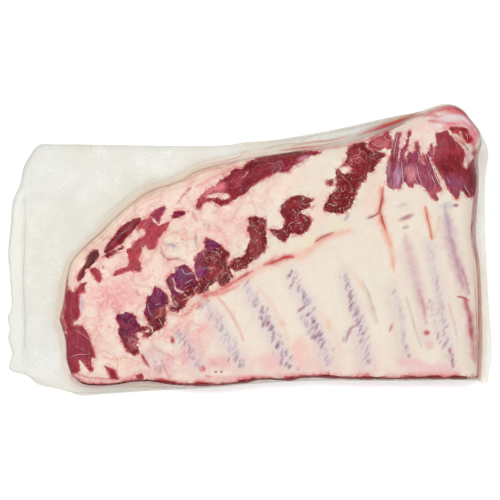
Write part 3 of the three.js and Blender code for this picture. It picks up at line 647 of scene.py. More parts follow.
# Seams, vessels and smears: what they cross, width, colour, strength and course
STROKES = [
    ("fat", 1.5, (192, 78, 84), 0.85, [(-72, 46), (-66, 54), (-58, 62)]),
    ("fat", 2.2, (228, 140, 134), 0.8, [(-54, 62), (-36, 72), (-18, 80)]),
    ("fat", 1.4, (232, 158, 146), 0.8, [(-66, 68), (-44, 78), (-24, 82)]),
    ("fat", 1.0, (92, 66, 70), 0.8, [(-54, 17), (-53.5, 9), (-53, 2)]),
    ("fat", 2.2, (206, 96, 98), 0.8, [(-57, 38), (-55, 33), (-52, 28)]),
    ("fat", 1.2, (128, 62, 66), 0.9, [(-88, 4), (-87, -4), (-80, -10), (-73, -9), (-65, -11.5)]),
    ("fat", 1.0, (126, 118, 158), 0.8, [(-81, 5), (-72, 3)]),
    ("fat", 5.0, (240, 160, 142), 0.8, [(131, 62), (131, 46), (129, 36), (134, 22), (141, 4)]),
    ("fat", 2.0, (190, 50, 56), 0.9, [(133, 62), (132, 50), (130, 40), (132, 29), (136, 18)]),
    ("fat", 1.6, (152, 60, 76), 0.8, [(130, 38), (125, 34), (119, 31)]),
    ("fat", 2.8, (236, 166, 138), 0.8, [(133, 24), (138, 10), (142, -6), (144, -22)]),
    ("fat", 2.4, (229, 132, 104), 0.95, [(175, 43), (178, 28), (182, 10)]),
    ("fat", 1.4, (238, 192, 136), 0.7, [(190, 34), (187, 24), (184, 12)]),
    ("fat", 1.5, (232, 148, 140), 0.75, [(-36, -44), (-26, -54), (-17, -67), (-9, -82), (-6, -92)]),
    ("fat", 2.6, (178, 26, 44), 1.0, [(-53, -59), (-50, -55), (-51, -52)]),
    ("fat", 5.0, (242, 172, 158), 0.8, [(-84, -88), (-66, -70), (-48, -50), (-24, -38), (-6, -28), (12, -17),
                                         (30, -10), (44, -7), (58, -2), (70, 7), (84, 14), (100, 19)]),
    ("fat", 2.0, (206, 74, 82), 0.9, [(-48, -46), (-36, -43), (-22, -36), (-8, -28), (4, -21)]),
    ("fat", 3.0, (196, 62, 66), 0.95, [(14, -16), (30, -10), (38, -7), (44, -8)]),
    ("fat", 1.6, (172, 56, 64), 0.85, [(65, 7), (72, 12), (84, 17)]),
    ("fat", 1.3, (170, 60, 70), 0.8, [(-12, -30), (-6, -26), (0, -22)]),
    ("fat", 5.6, (212, 172, 176), 0.75, [(155, 14), (160, -6), (166, -30), (171, -50), (175, -64)]),
    ("fat", 2.4, (206, 130, 138), 0.7, [(168, -40), (173, -54), (176, -74)]),
    ("fat", 1.1, (196, 160, 156), 0.7, [(156, -46), (161, -64), (166, -82), (172, -98)]),
    ("fat", 1.0, (176, 150, 144), 0.6, [(116, -36), (122, -54), (128, -72)]),
    ("fat", 2.2, (206, 186, 176), 0.6, [(112, -30), (120, -52), (126, -74)]),
    ("fat", 7.0, (204, 164, 172), 0.9, [(197, 34), (199, 17), (205, -6), (211, -28), (217, -44)]),
    ("fat", 2.6, (176, 126, 146), 0.6, [(200, 14), (205, -4), (209, -22), (213, -38)]),
    ("fat", 2.6, (160, 150, 174), 0.65, [(194, 44), (197, 30), (200, 14)]),
    ("fat", 1.2, (176, 92, 112), 0.7, [(211, -18), (216, -32), (219, -44)]),
    ("fat", 1.6, (190, 60, 80), 0.9, [(207, -47), (213, -48), (219, -51)]),
    ("fat", 4.6, (202, 112, 120), 0.9, [(214, -50), (218, -62), (221, -78), (223, -94), (225, -112)]),
    ("fat", 2.2, (166, 52, 68), 0.9, [(215, -50), (218.5, -62), (220.5, -76), (222, -90)]),
    ("fat", 1.0, (214, 150, 150), 0.6, [(198, -52), (203, -70), (207, -88)]),
    ("fat", 2.4, (178, 34, 48), 1.0, [(112, 112), (125, 119), (138, 123), (151, 128), (161, 132),
                                      (174, 135)]),
    ("fat", 1.2, (170, 70, 70), 0.85, [(116, 108), (126, 113.5), (140, 120), (156, 127)]),
    ("fat", 2.0, (206, 72, 88), 0.9, [(186, 138), (198, 141), (207, 139), (214, 134)]),
    ("fat", 1.6, (214, 100, 112), 0.8, [(172, 132), (180, 134), (190, 132), (200, 134)]),
    ("fat", 1.6, (216, 112, 110), 0.8, [(62, 99), (78, 101), (96, 104), (112, 108), (142, 118)]),
    ("fat", 1.2, (226, 150, 150), 0.7, [(172, 134), (186, 139), (198, 140)]),
    ("fat", 2.2, (240, 158, 160), 0.8, [(192, 120), (202, 126), (214, 125), (222, 118)]),
    ("fat", 2.4, (234, 226, 230), 0.85, [(184.5, 123), (191, 125.5), (197, 128.5), (205.5, 131),
                                         (213, 130), (218.5, 127), (222.5, 122.5), (227, 117)]),
    ("fat", 3.0, (243, 196, 178), 0.5, [(7.5, -36), (22, -55), (32.5, -75), (39, -90.5)]),
    ("fat", 1.8, (246, 200, 174), 0.7, [(103.5, -23.5), (110.5, -33.5), (114, -44)]),
    ("fat", 3.0, (242, 202, 186), 0.5, [(70.5, -62), (77, -70), (84, -80), (92, -104)]),
    ("fat", 2.6, (196, 44, 60), 1.0, [(198, 144), (207, 142), (214, 136), (221, 129), (227, 120),
                                      (231, 112)]),
    ("fat", 2.6, (222, 96, 108), 0.9, [(176, 134), (187, 139), (197, 141), (206, 139)]),
    ("fat", 3.4, (228, 116, 128), 0.8, [(204, 136), (212, 131), (219, 124), (225, 114)]),
    ("fat", 2.2, (240, 236, 240), 0.9, [(186, 128), (195, 132), (205, 133), (213, 130), (219, 124)]),
    ("fat", 2.0, (214, 84, 96), 0.8, [(178, 128), (190, 127), (200, 125), (209, 124)]),
    ("fat", 2.2, (206, 64, 74), 0.85, [(222, 108), (224, 100), (224, 94)]),
    ("both", 1.2, (88, 18, 26), 0.95, [(199, 114), (205, 110), (211, 106), (218, 99)]),
    ("lean", 1.8, (82, 16, 28), 0.8, [(199, 120), (206, 121), (214, 119)]),
    ("lean", 1.0, (238, 206, 186), 0.8, [(209, 118), (210, 114), (212, 109)]),
    ("lean", 1.2, (120, 26, 34), 0.9, [(214, 118), (215, 113), (216, 107)]),
    ("lean", 1.1, (150, 26, 44), 0.9, [(141.5, 97), (142, 84), (142, 63)]),
    ("both", 1.1, (92, 60, 72), 0.7, [(-117, -13), (-109, -16)]),
    ("both", 1.1, (92, 60, 72), 0.7, [(-116, -18), (-108, -21)]),
    ("lean", 1.5, (66, 12, 26), 0.85, [(-133, 13), (-122, 18), (-112, 25)]),
    ("lean", 2.6, (80, 14, 30), 0.7, [(-152, -4), (-160, -16), (-168, -28)]),
    ("fat", 2.0, (236, 150, 150), 0.7, [(-108, -86), (-99, -90), (-88, -86), (-82, -78)]),
    ("fat", 1.6, (222, 118, 112), 0.8, [(-80, -64), (-66, -66), (-54, -54)]),
    ("fat", 2.0, (228, 126, 122), 0.8, [(-50, -48), (-40, -46), (-24, -42), (-10, -36)]),
    ("fat", 1.4, (168, 34, 54), 0.9, [(-108, -104), (-104, -111), (-99, -119)]),
    ("fat", 1.3, (206, 86, 92), 0.7, [(-88, -110), (-84, -120), (-80, -128)]),
    ("fat", 1.3, (232, 150, 140), 0.6, [(-148, -106), (-136, -110), (-122, -108), (-110, -114)]),
    ("fat", 1.4, (196, 90, 92), 0.8, [(-178, -119), (-168, -126), (-150, -129), (-132, -129)]),
    ("fat", 1.0, (172, 44, 62), 0.9, [(-113, -42), (-111, -45), (-109, -47)]),
    ("fat", 2.6, (240, 160, 158), 0.6, [(-55, -82), (-50, -80), (-42, -76)]),
    ("fat", 2.8, (236, 162, 164), 0.6, [(-40, -110), (-36, -113), (-32, -115)]),
    ("fat", 1.2, (214, 92, 106), 0.8, [(-44, -126), (-38, -127)]),
    ("fat", 0.9, (140, 64, 80), 0.8, [(-21.5, -112), (-20, -107)]),
    ("fat", 1.3, (150, 88, 128), 0.9, [(98.5, -47.5), (101, -41)]),
    ("fat", 1.4, (152, 92, 130), 0.9, [(99, -59.5), (103.5, -52)]),
    ("fat", 1.4, (156, 98, 132), 0.85, [(106, -67), (108, -56)]),
    ("fat", 1.2, (178, 108, 140), 0.85, [(109, -70.5), (107, -75), (102, -78), (99, -83), (96, -92)]),
    ("fat", 1.0, (176, 150, 168), 0.7, [(94, -32.5), (97.5, -28)]),
    ("fat", 1.2, (198, 106, 122), 0.85, [(139.5, -82), (142.5, -74)]),
    ("fat", 1.0, (188, 166, 180), 0.7, [(142, -44.5), (147, -39)]),
    ("fat", 1.0, (205, 110, 120), 0.8, [(178.8, -53), (179.3, -49)]),
    ("fat", 1.0, (196, 130, 150), 0.8, [(187, -90.5), (188.5, -82)]),
    ("fat", 1.2, (160, 108, 146), 0.9, [(192, -99.5), (196, -92)]),
    ("fat", 1.1, (178, 88, 118), 0.9, [(199.3, -102), (200, -98)]),
    ("fat", 1.4, (158, 86, 126), 0.9, [(202.5, -109), (203, -118)]),
    ("fat", 1.0, (172, 154, 182), 0.8, [(186, -24), (187.5, -29), (186, -35.5)]),
    ("fat", 1.4, (158, 80, 114), 0.9, [(48.5, -61.5), (55, -56.5)]),
    ("fat", 1.3, (150, 95, 130), 0.85, [(56, -66.5), (59.5, -64)]),
    ("fat", 1.3, (150, 110, 135), 0.85, [(62, -79.5), (64, -76.5)]),
    ("fat", 1.2, (158, 98, 128), 0.85, [(62, -89), (66.5, -85.5)]),
]
for start_width, end_width, colour, course in FAT_STREAKS:
    stroke(fat_colour, course, max(start_width, end_width), colour, 0.9)
for target, width, colour, strength, course in STROKES:
    if target != "lean":
        stroke(fat_colour, course, width, colour, strength)
    if target != "fat":
        stroke(lean_colour, course, width, colour, strength)

# The loops down the sides: the belly side curls under. Below the saw cut's upper edge the face comes
# out a little, most where the soft muscle between two ribs bulges past the bone
top = np.dstack([px, py, surface])
start = rim_of(top)
count = len(start)
on_saw = np.zeros(count)
on_saw[6:STEPS_ALONG - 5] = 1
on_saw = np.convolve(np.r_[on_saw[-30:], on_saw, on_saw[:30]], np.ones(13) / 13, "same")[30:-30]
ahead = np.roll(start, -14, axis=0) - np.roll(start, 14, axis=0)
from_corner = np.min([np.hypot(start[:, 0] - start[k, 0], start[:, 1] - start[k, 1])
                      for k in (0, STEPS_ALONG, STEPS_ALONG + STEPS_ACROSS)], axis=0)
outward = np.column_stack([ahead[:, 1], -ahead[:, 0]]) / np.hypot(ahead[:, 0], ahead[:, 1])[:, None]
bulge = np.max([np.exp(-((start[:, 0] - x) / 8) ** 2) for x in BULGES], axis=0) * on_saw
SIDE_LOOPS, UNDERSIDE, CURL_UNDER = 10, 0.6, 3.0
FACE_OUT, BULGE_OUT, FACE_IN_BELOW = 1.3, 0.6, 3.0
# The cut face is dark red between the bulges, partly the muscle's colour and partly painted shade, and
# redder on the bulges
CUT_AND_SHADE_COLOUR, BULGE_COLOUR = seen((104, 30, 36)), seen((146, 70, 72))
loops, loop_lean, loop_colour = [], [], []
for k in range(1, SIDE_LOOPS + 1):
    share = k / SIDE_LOOPS
    angle = share * np.pi / 2
    at = np.full(count, 5.0 * k)
    ragged = 0.2 * waves(start[:, 0], at, 6, 8) + 0.2 * waves(start[:, 0], at, 2.5, 9)
    lip = (FACE_OUT + BULGE_OUT * bulge + ragged) * ease(share, 0.0, 0.22)
    lip -= FACE_IN_BELOW * ease(share, 0.85, 1.0)
    curl = CURL_UNDER * (1 - 0.6 * np.exp(-(from_corner / 14) ** 2))
    out = on_saw * lip + (1 - on_saw) * (0.5 * np.sin(np.pi * share) - curl * (1 - np.cos(angle)))
    deep = (1 - on_saw) * np.sin(angle) + on_saw * share ** 1.15
    z = UNDERSIDE + (start[:, 2] - UNDERSIDE) * (1 - deep)
    loops.append(np.column_stack([start[:, :2] + outward * out[:, None], z]))
    cut_lean = np.minimum(z - 6 - 2 * waves(start[:, 0], z, 14, 10), start[:, 2] + 0.6 - z)
    seam = 2.4 - np.abs(z - 0.42 * start[:, 2] - 2.2 * waves(start[:, 0] + start[:, 1], z * 0.3, 18, 16))
    seam += 2.0 * waves(start[:, 0] - start[:, 1], z, 24, 18) - 0.6
    loop_lean.append(on_saw * np.clip(cut_lean, -6, 6) + (1 - on_saw) * np.clip(seam, -9, 3))
    loop_colour.append(CUT_AND_SHADE_COLOUR + (BULGE_COLOUR - CUT_AND_SHADE_COLOUR) * bulge[:, None])
points, faces = closed_skin(top, loops, UNDER_STEP)
rack = add_mesh("rack_of_ribs", points, faces)

# What the material reads at each point
extra = points[top[..., 0].size:]
under = extra[count * SIDE_LOOPS:]
under_x, under_y = under[:, 0], under[:, 1]
under_lean = 7 * (waves(under_x, under_y, 38, 11) + 0.4 * waves(under_x, under_y, 12, 12)) - 2.2
down = np.repeat(np.arange(1, SIDE_LOOPS + 1) / SIDE_LOOPS, count)
around = np.tile(start[:, 0] + start[:, 1], SIDE_LOOPS)
side_fat = np.tile(rim_of(fat_colour), (SIDE_LOOPS, 1))
layers = ease(waves(around, down * 24, 13, 48), -0.3, 0.5)[:, None]
own_side = seen((248, 222, 202)) * (1 - layers) + seen((240, 184, 170)) * layers
side_fat += (own_side - side_fat) * (0.9 * ease(down, 0.05, 0.35))[:, None]


def store(piece, name, values):
    """Keeps a number, a vector or a colour at each point of a piece."""
    values = np.asarray(values, float)
    if values.ndim == 1:
        layer = piece.data.attributes.new(name, "FLOAT", "POINT")
        layer.data.foreach_set("value", values)
    elif name.endswith("colour"):
        layer = piece.data.attributes.new(name, "FLOAT_COLOR", "POINT")
        layer.data.foreach_set("color", np.column_stack([values, np.ones(len(values))]).ravel())
    else:
        layer = piece.data.attributes.new(name, "FLOAT_VECTOR", "POINT")
        layer.data.foreach_set("vector", values.ravel())


def all_points(on_top, value):
    """The bone side's values, followed by one value for the sides and the underside."""
    return np.concatenate([on_top.ravel(), np.full(len(extra), value)])


store(rack, "lean", np.concatenate([lean.ravel(), np.concatenate(loop_lean), np.clip(under_lean, -9, 6)]))
store(rack, "fat_colour", np.concatenate([
    fat_colour.reshape(-1, 3), side_fat, np.broadcast_to(seen((243, 210, 192)), (len(under), 3))]))
store(rack, "lean_colour", np.concatenate([
    lean_colour.reshape(-1, 3), np.concatenate(loop_colour),
    np.broadcast_to(seen((158, 62, 72)), (len(under), 3))]))
store(rack, "marbled", all_points(marbled * (1 - 0.75 * silver), 0.45))
breastbone = np.exp(-((px - 205) / 28) ** 2 - ((py - 126) / 17) ** 2)
softness = 1 - 0.8 * smooth_side - 0.5 * rim_share[..., 0] + 0.45 * breastbone
store(rack, "soft", all_points(np.clip(softness, 0, 1), 0.5))
turn = np.radians(all_points(fibre_turn, 5.0))
store(rack, "grain", np.column_stack([
    points[:, 1] * np.cos(turn) - points[:, 0] * np.sin(turn),
    points[:, 0] * np.cos(turn) + points[:, 1] * np.sin(turn), points[:, 2]]))


def add_node(tree, kind, values=None, **settings):
    """A node with its settings, and its inputs given as values or as other nodes' outputs."""
    made = tree.nodes.new(kind)
    for name, value in settings.items():
        setattr(made, name, value)
    for key, value in (values or {}).items():
        if isinstance(value, bpy.types.NodeSocket):
            tree.links.new(value, made.inputs[key])
        else:
            made.inputs[key].default_value = value
    return made


def maths(tree, operation, a, b=0.0, clamp=False):
    return add_node(tree, "ShaderNodeMath", {0: a, 1: b}, operation=operation, use_clamp=clamp).outputs[0]


def times(tree, a, b):
    return maths(tree, "MULTIPLY", a, b)


def plus(tree, a, b):
    return maths(tree, "ADD", a, b)


def off_middle(tree, value):
    """How far a noise is above or below its middle."""
    return maths(tree, "SUBTRACT", value, 0.5)


def stepped(tree, value, low, high, to_low=0.0, to_high=1.0):
    """Smooth change between two limits."""
    return add_node(tree, "ShaderNodeMapRange", {0: value, 1: low, 2: high, 3: to_low, 4: to_high},
                    interpolation_type="SMOOTHSTEP").outputs[0]


def mixed(tree, share, a, b, blend="MIX"):
    """Two colours mixed; plain colours are given as three numbers."""
    wide = lambda c: (*c, 1.0) if isinstance(c, (tuple, list, np.ndarray)) else c
    return add_node(tree, "ShaderNodeMix", {0: share, 6: wide(a), 7: wide(b)}, data_type="RGBA",
                    blend_type=blend).outputs[2]


def shaded(tree, colour, level):
    """A colour made darker or lighter by a number."""
    grey = add_node(tree, "ShaderNodeCombineColor", {0: level, 1: level, 2: level}).outputs[0]
    return mixed(tree, 1.0, colour, grey, "MULTIPLY")


def vector(tree, operation, a, b):
    return add_node(tree, "ShaderNodeVectorMath", {0: a, 1: b}, operation=operation).outputs[0]


def noise(tree, where, scale, detail=2.0, rough=0.5, output="Fac"):
    return add_node(tree, "ShaderNodeTexNoise", {"Vector": where, "Scale": scale, "Detail": detail,
                                                 "Roughness": rough}).outputs[output]


def read(tree, name, output="Fac"):
    return add_node(tree, "ShaderNodeAttribute", attribute_name=name).outputs[output]


def new_surface(name):
    """An empty material, its node tree and a Principled shader wired to its output."""
    made = bpy.data.materials.new(name)
    made.use_nodes = True
    tree = made.node_tree
    tree.nodes.clear()
    shader = add_node(tree, "ShaderNodeBsdfPrincipled")
    add_node(tree, "ShaderNodeOutputMaterial", {"Surface": shader.outputs[0]})
    return made, tree, shader


def millimetres(tree):
    """Object coordinates in millimetres."""
    place = add_node(tree, "ShaderNodeTexCoord").outputs["Object"]
    return add_node(tree, "ShaderNodeMapping", {"Vector": place, "Scale": (1000, 1000, 1000)}).outputs[0]


def bumped(tree, shader, height, distance, strength):
    bump = add_node(tree, "ShaderNodeBump", {"Height": height, "Distance": distance, "Strength": strength})
    tree.links.new(bump.outputs[0], shader.inputs["Normal"])


# Fat and membrane over lean: the edge between them is ragged, fat is mottled and has vessels, and
# lean has fibres, flecks and thin winding threads of fat
meat, tree, shader = new_surface("fat_and_lean")
place = millimetres(tree)
marbling = read(tree, "marbled")
ragged_edge = times(tree, off_middle(tree, noise(tree, place, 0.26, 4, 0.6)),
                    stepped(tree, marbling, 0.05, 0.5, 3.0, 7.0))
fine_edge = times(tree, off_middle(tree, noise(tree, place, 0.9, 2, 0.6)),
                  stepped(tree, marbling, 0.05, 0.5, 1.6, 3.2))
grain = read(tree, "grain", "Vector")
along_fibres = add_node(tree, "ShaderNodeMapping", {"Vector": grain, "Scale": (1.0, 0.13, 0.4)}).outputs[0]
fibres = noise(tree, along_fibres, 0.8, 3, 0.6)
frayed = times(tree, off_middle(tree, fibres), stepped(tree, marbling, 0.05, 0.5, 3.6, 1.5))
unevenness = plus(tree, frayed, plus(tree, ragged_edge, fine_edge))
depth = plus(tree, read(tree, "lean"), unevenness)
blur = stepped(tree, noise(tree, place, 0.09, 2), 0.4, 0.62, 0.35, 1.5)
is_lean = stepped(tree, maths(tree, "DIVIDE", depth, blur), -1.0, 1.0)

# Fat: pink blotches, pale spots that are painted highlights, specks of blood, fine grain, and a red fringe
# beside the lean
fat = read(tree, "fat_colour", "Color")
soft_fat = read(tree, "soft")
sway = vector(tree, "MULTIPLY", noise(tree, place, 0.09, 2, 0.5, "Color"), (14, 14, 14))
bent = vector(tree, "ADD", sway, place)
blotch = times(tree, stepped(tree, noise(tree, bent, 0.12, 4, 0.66), 0.47, 0.64), soft_fat)
fat = mixed(tree, times(tree, blotch, 0.38), fat, seen((240, 164, 158)))
# Painted highlight: pale cream spots on the soft fat
pale = times(tree, stepped(tree, noise(tree, bent, 0.26, 3, 0.6), 0.5, 0.68), soft_fat)
fat = mixed(tree, times(tree, pale, 0.42), fat, seen((255, 236, 220)))
blood = times(tree, stepped(tree, noise(tree, bent, 0.5, 2, 0.55), 0.61, 0.7), soft_fat)
blood = times(tree, blood, stepped(tree, noise(tree, place, 0.07, 2), 0.42, 0.6))
fat = mixed(tree, times(tree, blood, 0.55), fat, seen((192, 70, 80)))
grains = times(tree, off_middle(tree, noise(tree, place, 0.7, 3, 0.6)),
               stepped(tree, soft_fat, 0.2, 1.0, 0.08, 0.3))
fat = shaded(tree, fat, plus(tree, grains, 1.0))
fringe = times(tree, stepped(tree, depth, -4.5, -0.2),
               stepped(tree, noise(tree, place, 0.2, 3), 0.42, 0.64, 0.0, 0.75))
fat = mixed(tree, fringe, fat, seen((222, 116, 114)))

# Lean: redder places, fibres, cells between the threads of fat, pale streaks along the fibres that are
# partly sheaths and partly painted sheen, and the threads themselves
muscle = read(tree, "lean_colour", "Color")
redder = stepped(tree, noise(tree, place, 0.08, 3, 0.6), 0.42, 0.66, 0.0, 0.4)
redder = times(tree, redder, stepped(tree, marbling, 0.2, 0.6, 1.0, 0.2))
muscle = mixed(tree, redder, muscle, seen((176, 70, 84)))
muscle = shaded(tree, muscle, stepped(tree, fibres, 0.3, 0.7, 0.68, 1.34))
cells = stepped(tree, noise(tree, place, 0.42, 3, 0.6), 0.36, 0.64, 0.62, 1.4)
muscle = mixed(tree, marbling, muscle, shaded(tree, muscle, cells))
# Pale streaks along the fibres: partly sheaths of the muscle and partly painted sheen
sheath_and_sheen = add_node(tree, "ShaderNodeMapping", {"Vector": grain, "Scale": (1.0, 0.07, 0.4)}).outputs[0]
sheath_and_sheen = times(tree, stepped(tree, noise(tree, sheath_and_sheen, 1.3, 2, 0.5), 0.6, 0.7),
               stepped(tree, marbling, 0.2, 0.6, 0.22, 0.0))
muscle = mixed(tree, sheath_and_sheen, muscle, seen((222, 150, 152)))
sway = vector(tree, "MULTIPLY", noise(tree, place, 0.25, 2, 0.5, "Color"), (7, 7, 7))
winding = vector(tree, "ADD", sway, place)
threads = maths(tree, "ABSOLUTE", off_middle(tree, noise(tree, winding, 0.2, 1.5, 0.55)))
threads = times(tree, stepped(tree, threads, 0.003, 0.018, 1.0, 0.0),
                stepped(tree, noise(tree, place, 0.14, 2), 0.46, 0.56))
fine = maths(tree, "ABSOLUTE", off_middle(tree, noise(tree, winding, 0.5, 1, 0.5)))
fine = times(tree, stepped(tree, fine, 0.004, 0.03, 0.55, 0.0),
             stepped(tree, noise(tree, place, 0.2, 2), 0.4, 0.55))
flecks = stepped(tree, noise(tree, place, 1.1, 1, 0.5), 0.62, 0.7, 0.0, 0.35)
pink = times(tree, maths(tree, "MAXIMUM", fine, flecks), marbling)
muscle = mixed(tree, pink, muscle, seen((204, 106, 112)))
white = times(tree, threads, times(tree, marbling, 0.9))
muscle = mixed(tree, white, muscle, seen((242, 206, 196)))

skin = mixed(tree, is_lean, fat, muscle)
border = times(tree, is_lean, maths(tree, "SUBTRACT", 1.0, is_lean))
skin = mixed(tree, maths(tree, "MULTIPLY", border, 2.6, clamp=True), skin, seen((186, 62, 70)))
tree.links.new(skin, shader.inputs["Base Color"])
rough_side = maths(tree, "MAXIMUM", maths(tree, "MAXIMUM", soft_fat, is_lean), 0.4)
lumpy = plus(tree, noise(tree, place, 0.5, 4, 0.6), times(tree, fibres, 0.4))
bumped(tree, shader, times(tree, lumpy, rough_side), 0.0005, 0.5)
shader.inputs["Roughness"].default_value = 0.5
shader.inputs["Specular IOR Level"].default_value = 0.08
shader.inputs["Coat Weight"].default_value = 0.16
shader.inputs["Coat Roughness"].default_value = 0.16
rack.data.materials.append(meat)
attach(rack, "root")
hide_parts("bagged_ribs")

# The sawn rib ends: along the cut face each rib shows an oval ring of pale bone round its red marrow,
# standing a little proud of the muscle, which has drawn back. Place along the face, width and height
RIB_ENDS = [(-100, 14, 8), (-65, 14, 9), (-28, 15, 9), (15, 15, 9), (59, 15, 9), (98, 14, 9),
            (138, 14, 9), (171, 9, 8), (194, 9, 8), (217, 8, 7)]
face_loop = loops[4][5:STEPS_ALONG - 4]
middles, sizes, turns = [], [], []
for x, wide, high in RIB_ENDS:
    k = int(np.argmin(np.abs(face_loop[:, 0] - x)))
    middles.append((*(face_loop[k, :2] + outward[k + 5] * 0.1), face_loop[k, 2] + 1.0))
    sizes.append((wide / 2, 1.1, high / 2))
    turns.append((0, 0, np.arctan2(outward[k + 5, 0], -outward[k + 5, 1])))


def new_sockets(tree, inputs):
    """The named inputs of a Geometry Nodes tree and its one output."""
    for name, kind in inputs.items():
        tree.interface.new_socket(name, in_out="INPUT", socket_type="NodeSocket" + kind)
    tree.interface.new_socket("Made", in_out="OUTPUT", socket_type="NodeSocketGeometry")
    return add_node(tree, "NodeGroupInput").outputs


def finish_tree(tree, shape, surface):
    """Ends a tree: its instances made real, its material set."""
    real = add_node(tree, "GeometryNodeRealizeInstances", {"Geometry": shape.outputs[0]})
    real = add_node(tree, "GeometryNodeSetMaterial", {"Geometry": real.outputs[0], "Material": surface})
    add_node(tree, "NodeGroupOutput", {0: real.outputs[0]})


def grown(base, tree, inputs, name):
    """The plain mesh that a tree makes from a base object, which is then removed."""
    growing = base.modifiers.new(name, "NODES")
    growing.node_group = tree
    for socket in tree.interface.items_tree:
        if socket.name in inputs:
            growing[socket.identifier] = inputs[socket.name]
    seen_by = bpy.context.evaluated_depsgraph_get()
    mesh = bpy.data.meshes.new_from_object(base.evaluated_get(seen_by), depsgraph=seen_by)
    mesh.name = name
    base.modifiers.remove(growing)
    bpy.data.objects.remove(base)
    made = bpy.data.objects.new(name, mesh)
    bpy.context.scene.collection.objects.link(made)
    return made


bone, tree, shader = new_surface("sawn_bone")
place = millimetres(tree)
uneven = times(tree, off_middle(tree, noise(tree, place, 0.7, 2)), 0.16)
from_middle = plus(tree, read(tree, "from_middle"), uneven)
pores = stepped(tree, noise(tree, place, 1.6, 2, 0.6), 0.45, 0.6)
marrow = mixed(tree, pores, seen((150, 52, 58)), seen((206, 134, 122)))
pink = stepped(tree, noise(tree, place, 0.5, 3), 0.4, 0.7)
ring = mixed(tree, pink, seen((236, 216, 196)), seen((222, 178, 164)))
bone_colour = mixed(tree, stepped(tree, from_middle, 0.66, 0.74), marrow, ring)
tree.links.new(bone_colour, shader.inputs["Base Color"])
bumped(tree, shader, pores, 0.0004, 0.6)
shader.inputs["Roughness"].default_value = 0.5

growth = bpy.data.node_groups.new("rib_ends", "GeometryNodeTree")
given = new_sockets(growth, {"Middles": "Geometry", "Segments": "Int", "Rings": "Int",
                             "Surface": "Material"})
dome = add_node(growth, "GeometryNodeMeshUVSphere", {"Segments": given["Segments"],
                                                     "Rings": given["Rings"], "Radius": 1.0})
spot = add_node(growth, "GeometryNodeInputPosition").outputs[0]
flat_spot = vector(growth, "MULTIPLY", spot, (1, 0, 1))
far = add_node(growth, "ShaderNodeVectorMath", {0: flat_spot}, operation="LENGTH").outputs["Value"]
dome = add_node(growth, "GeometryNodeStoreNamedAttribute",
                {"Geometry": dome.outputs["Mesh"], "Name": "from_middle", "Value": far}, data_type="FLOAT")
size = add_node(growth, "GeometryNodeInputNamedAttribute", {"Name": "half_size"}, data_type="FLOAT_VECTOR")
facing = add_node(growth, "GeometryNodeInputNamedAttribute", {"Name": "facing"}, data_type="FLOAT_VECTOR")
placed = add_node(growth, "GeometryNodeInstanceOnPoints", {
    "Points": given["Middles"], "Instance": dome.outputs[0], "Rotation": facing.outputs[0],
    "Scale": size.outputs[0]})
finish_tree(growth, placed, given["Surface"])

marks = add_mesh("rib_end_marks", middles, [])
store(marks, "half_size", np.array(sizes) * MM)
store(marks, "facing", np.array(turns))
rib_ends = grown(marks, growth, {"Segments": 28, "Rings": 20, "Surface": bone}, "sawn_rib_ends")
rib_ends.data.shade_smooth()
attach(rib_ends, "root")
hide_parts("bagged_ribs")
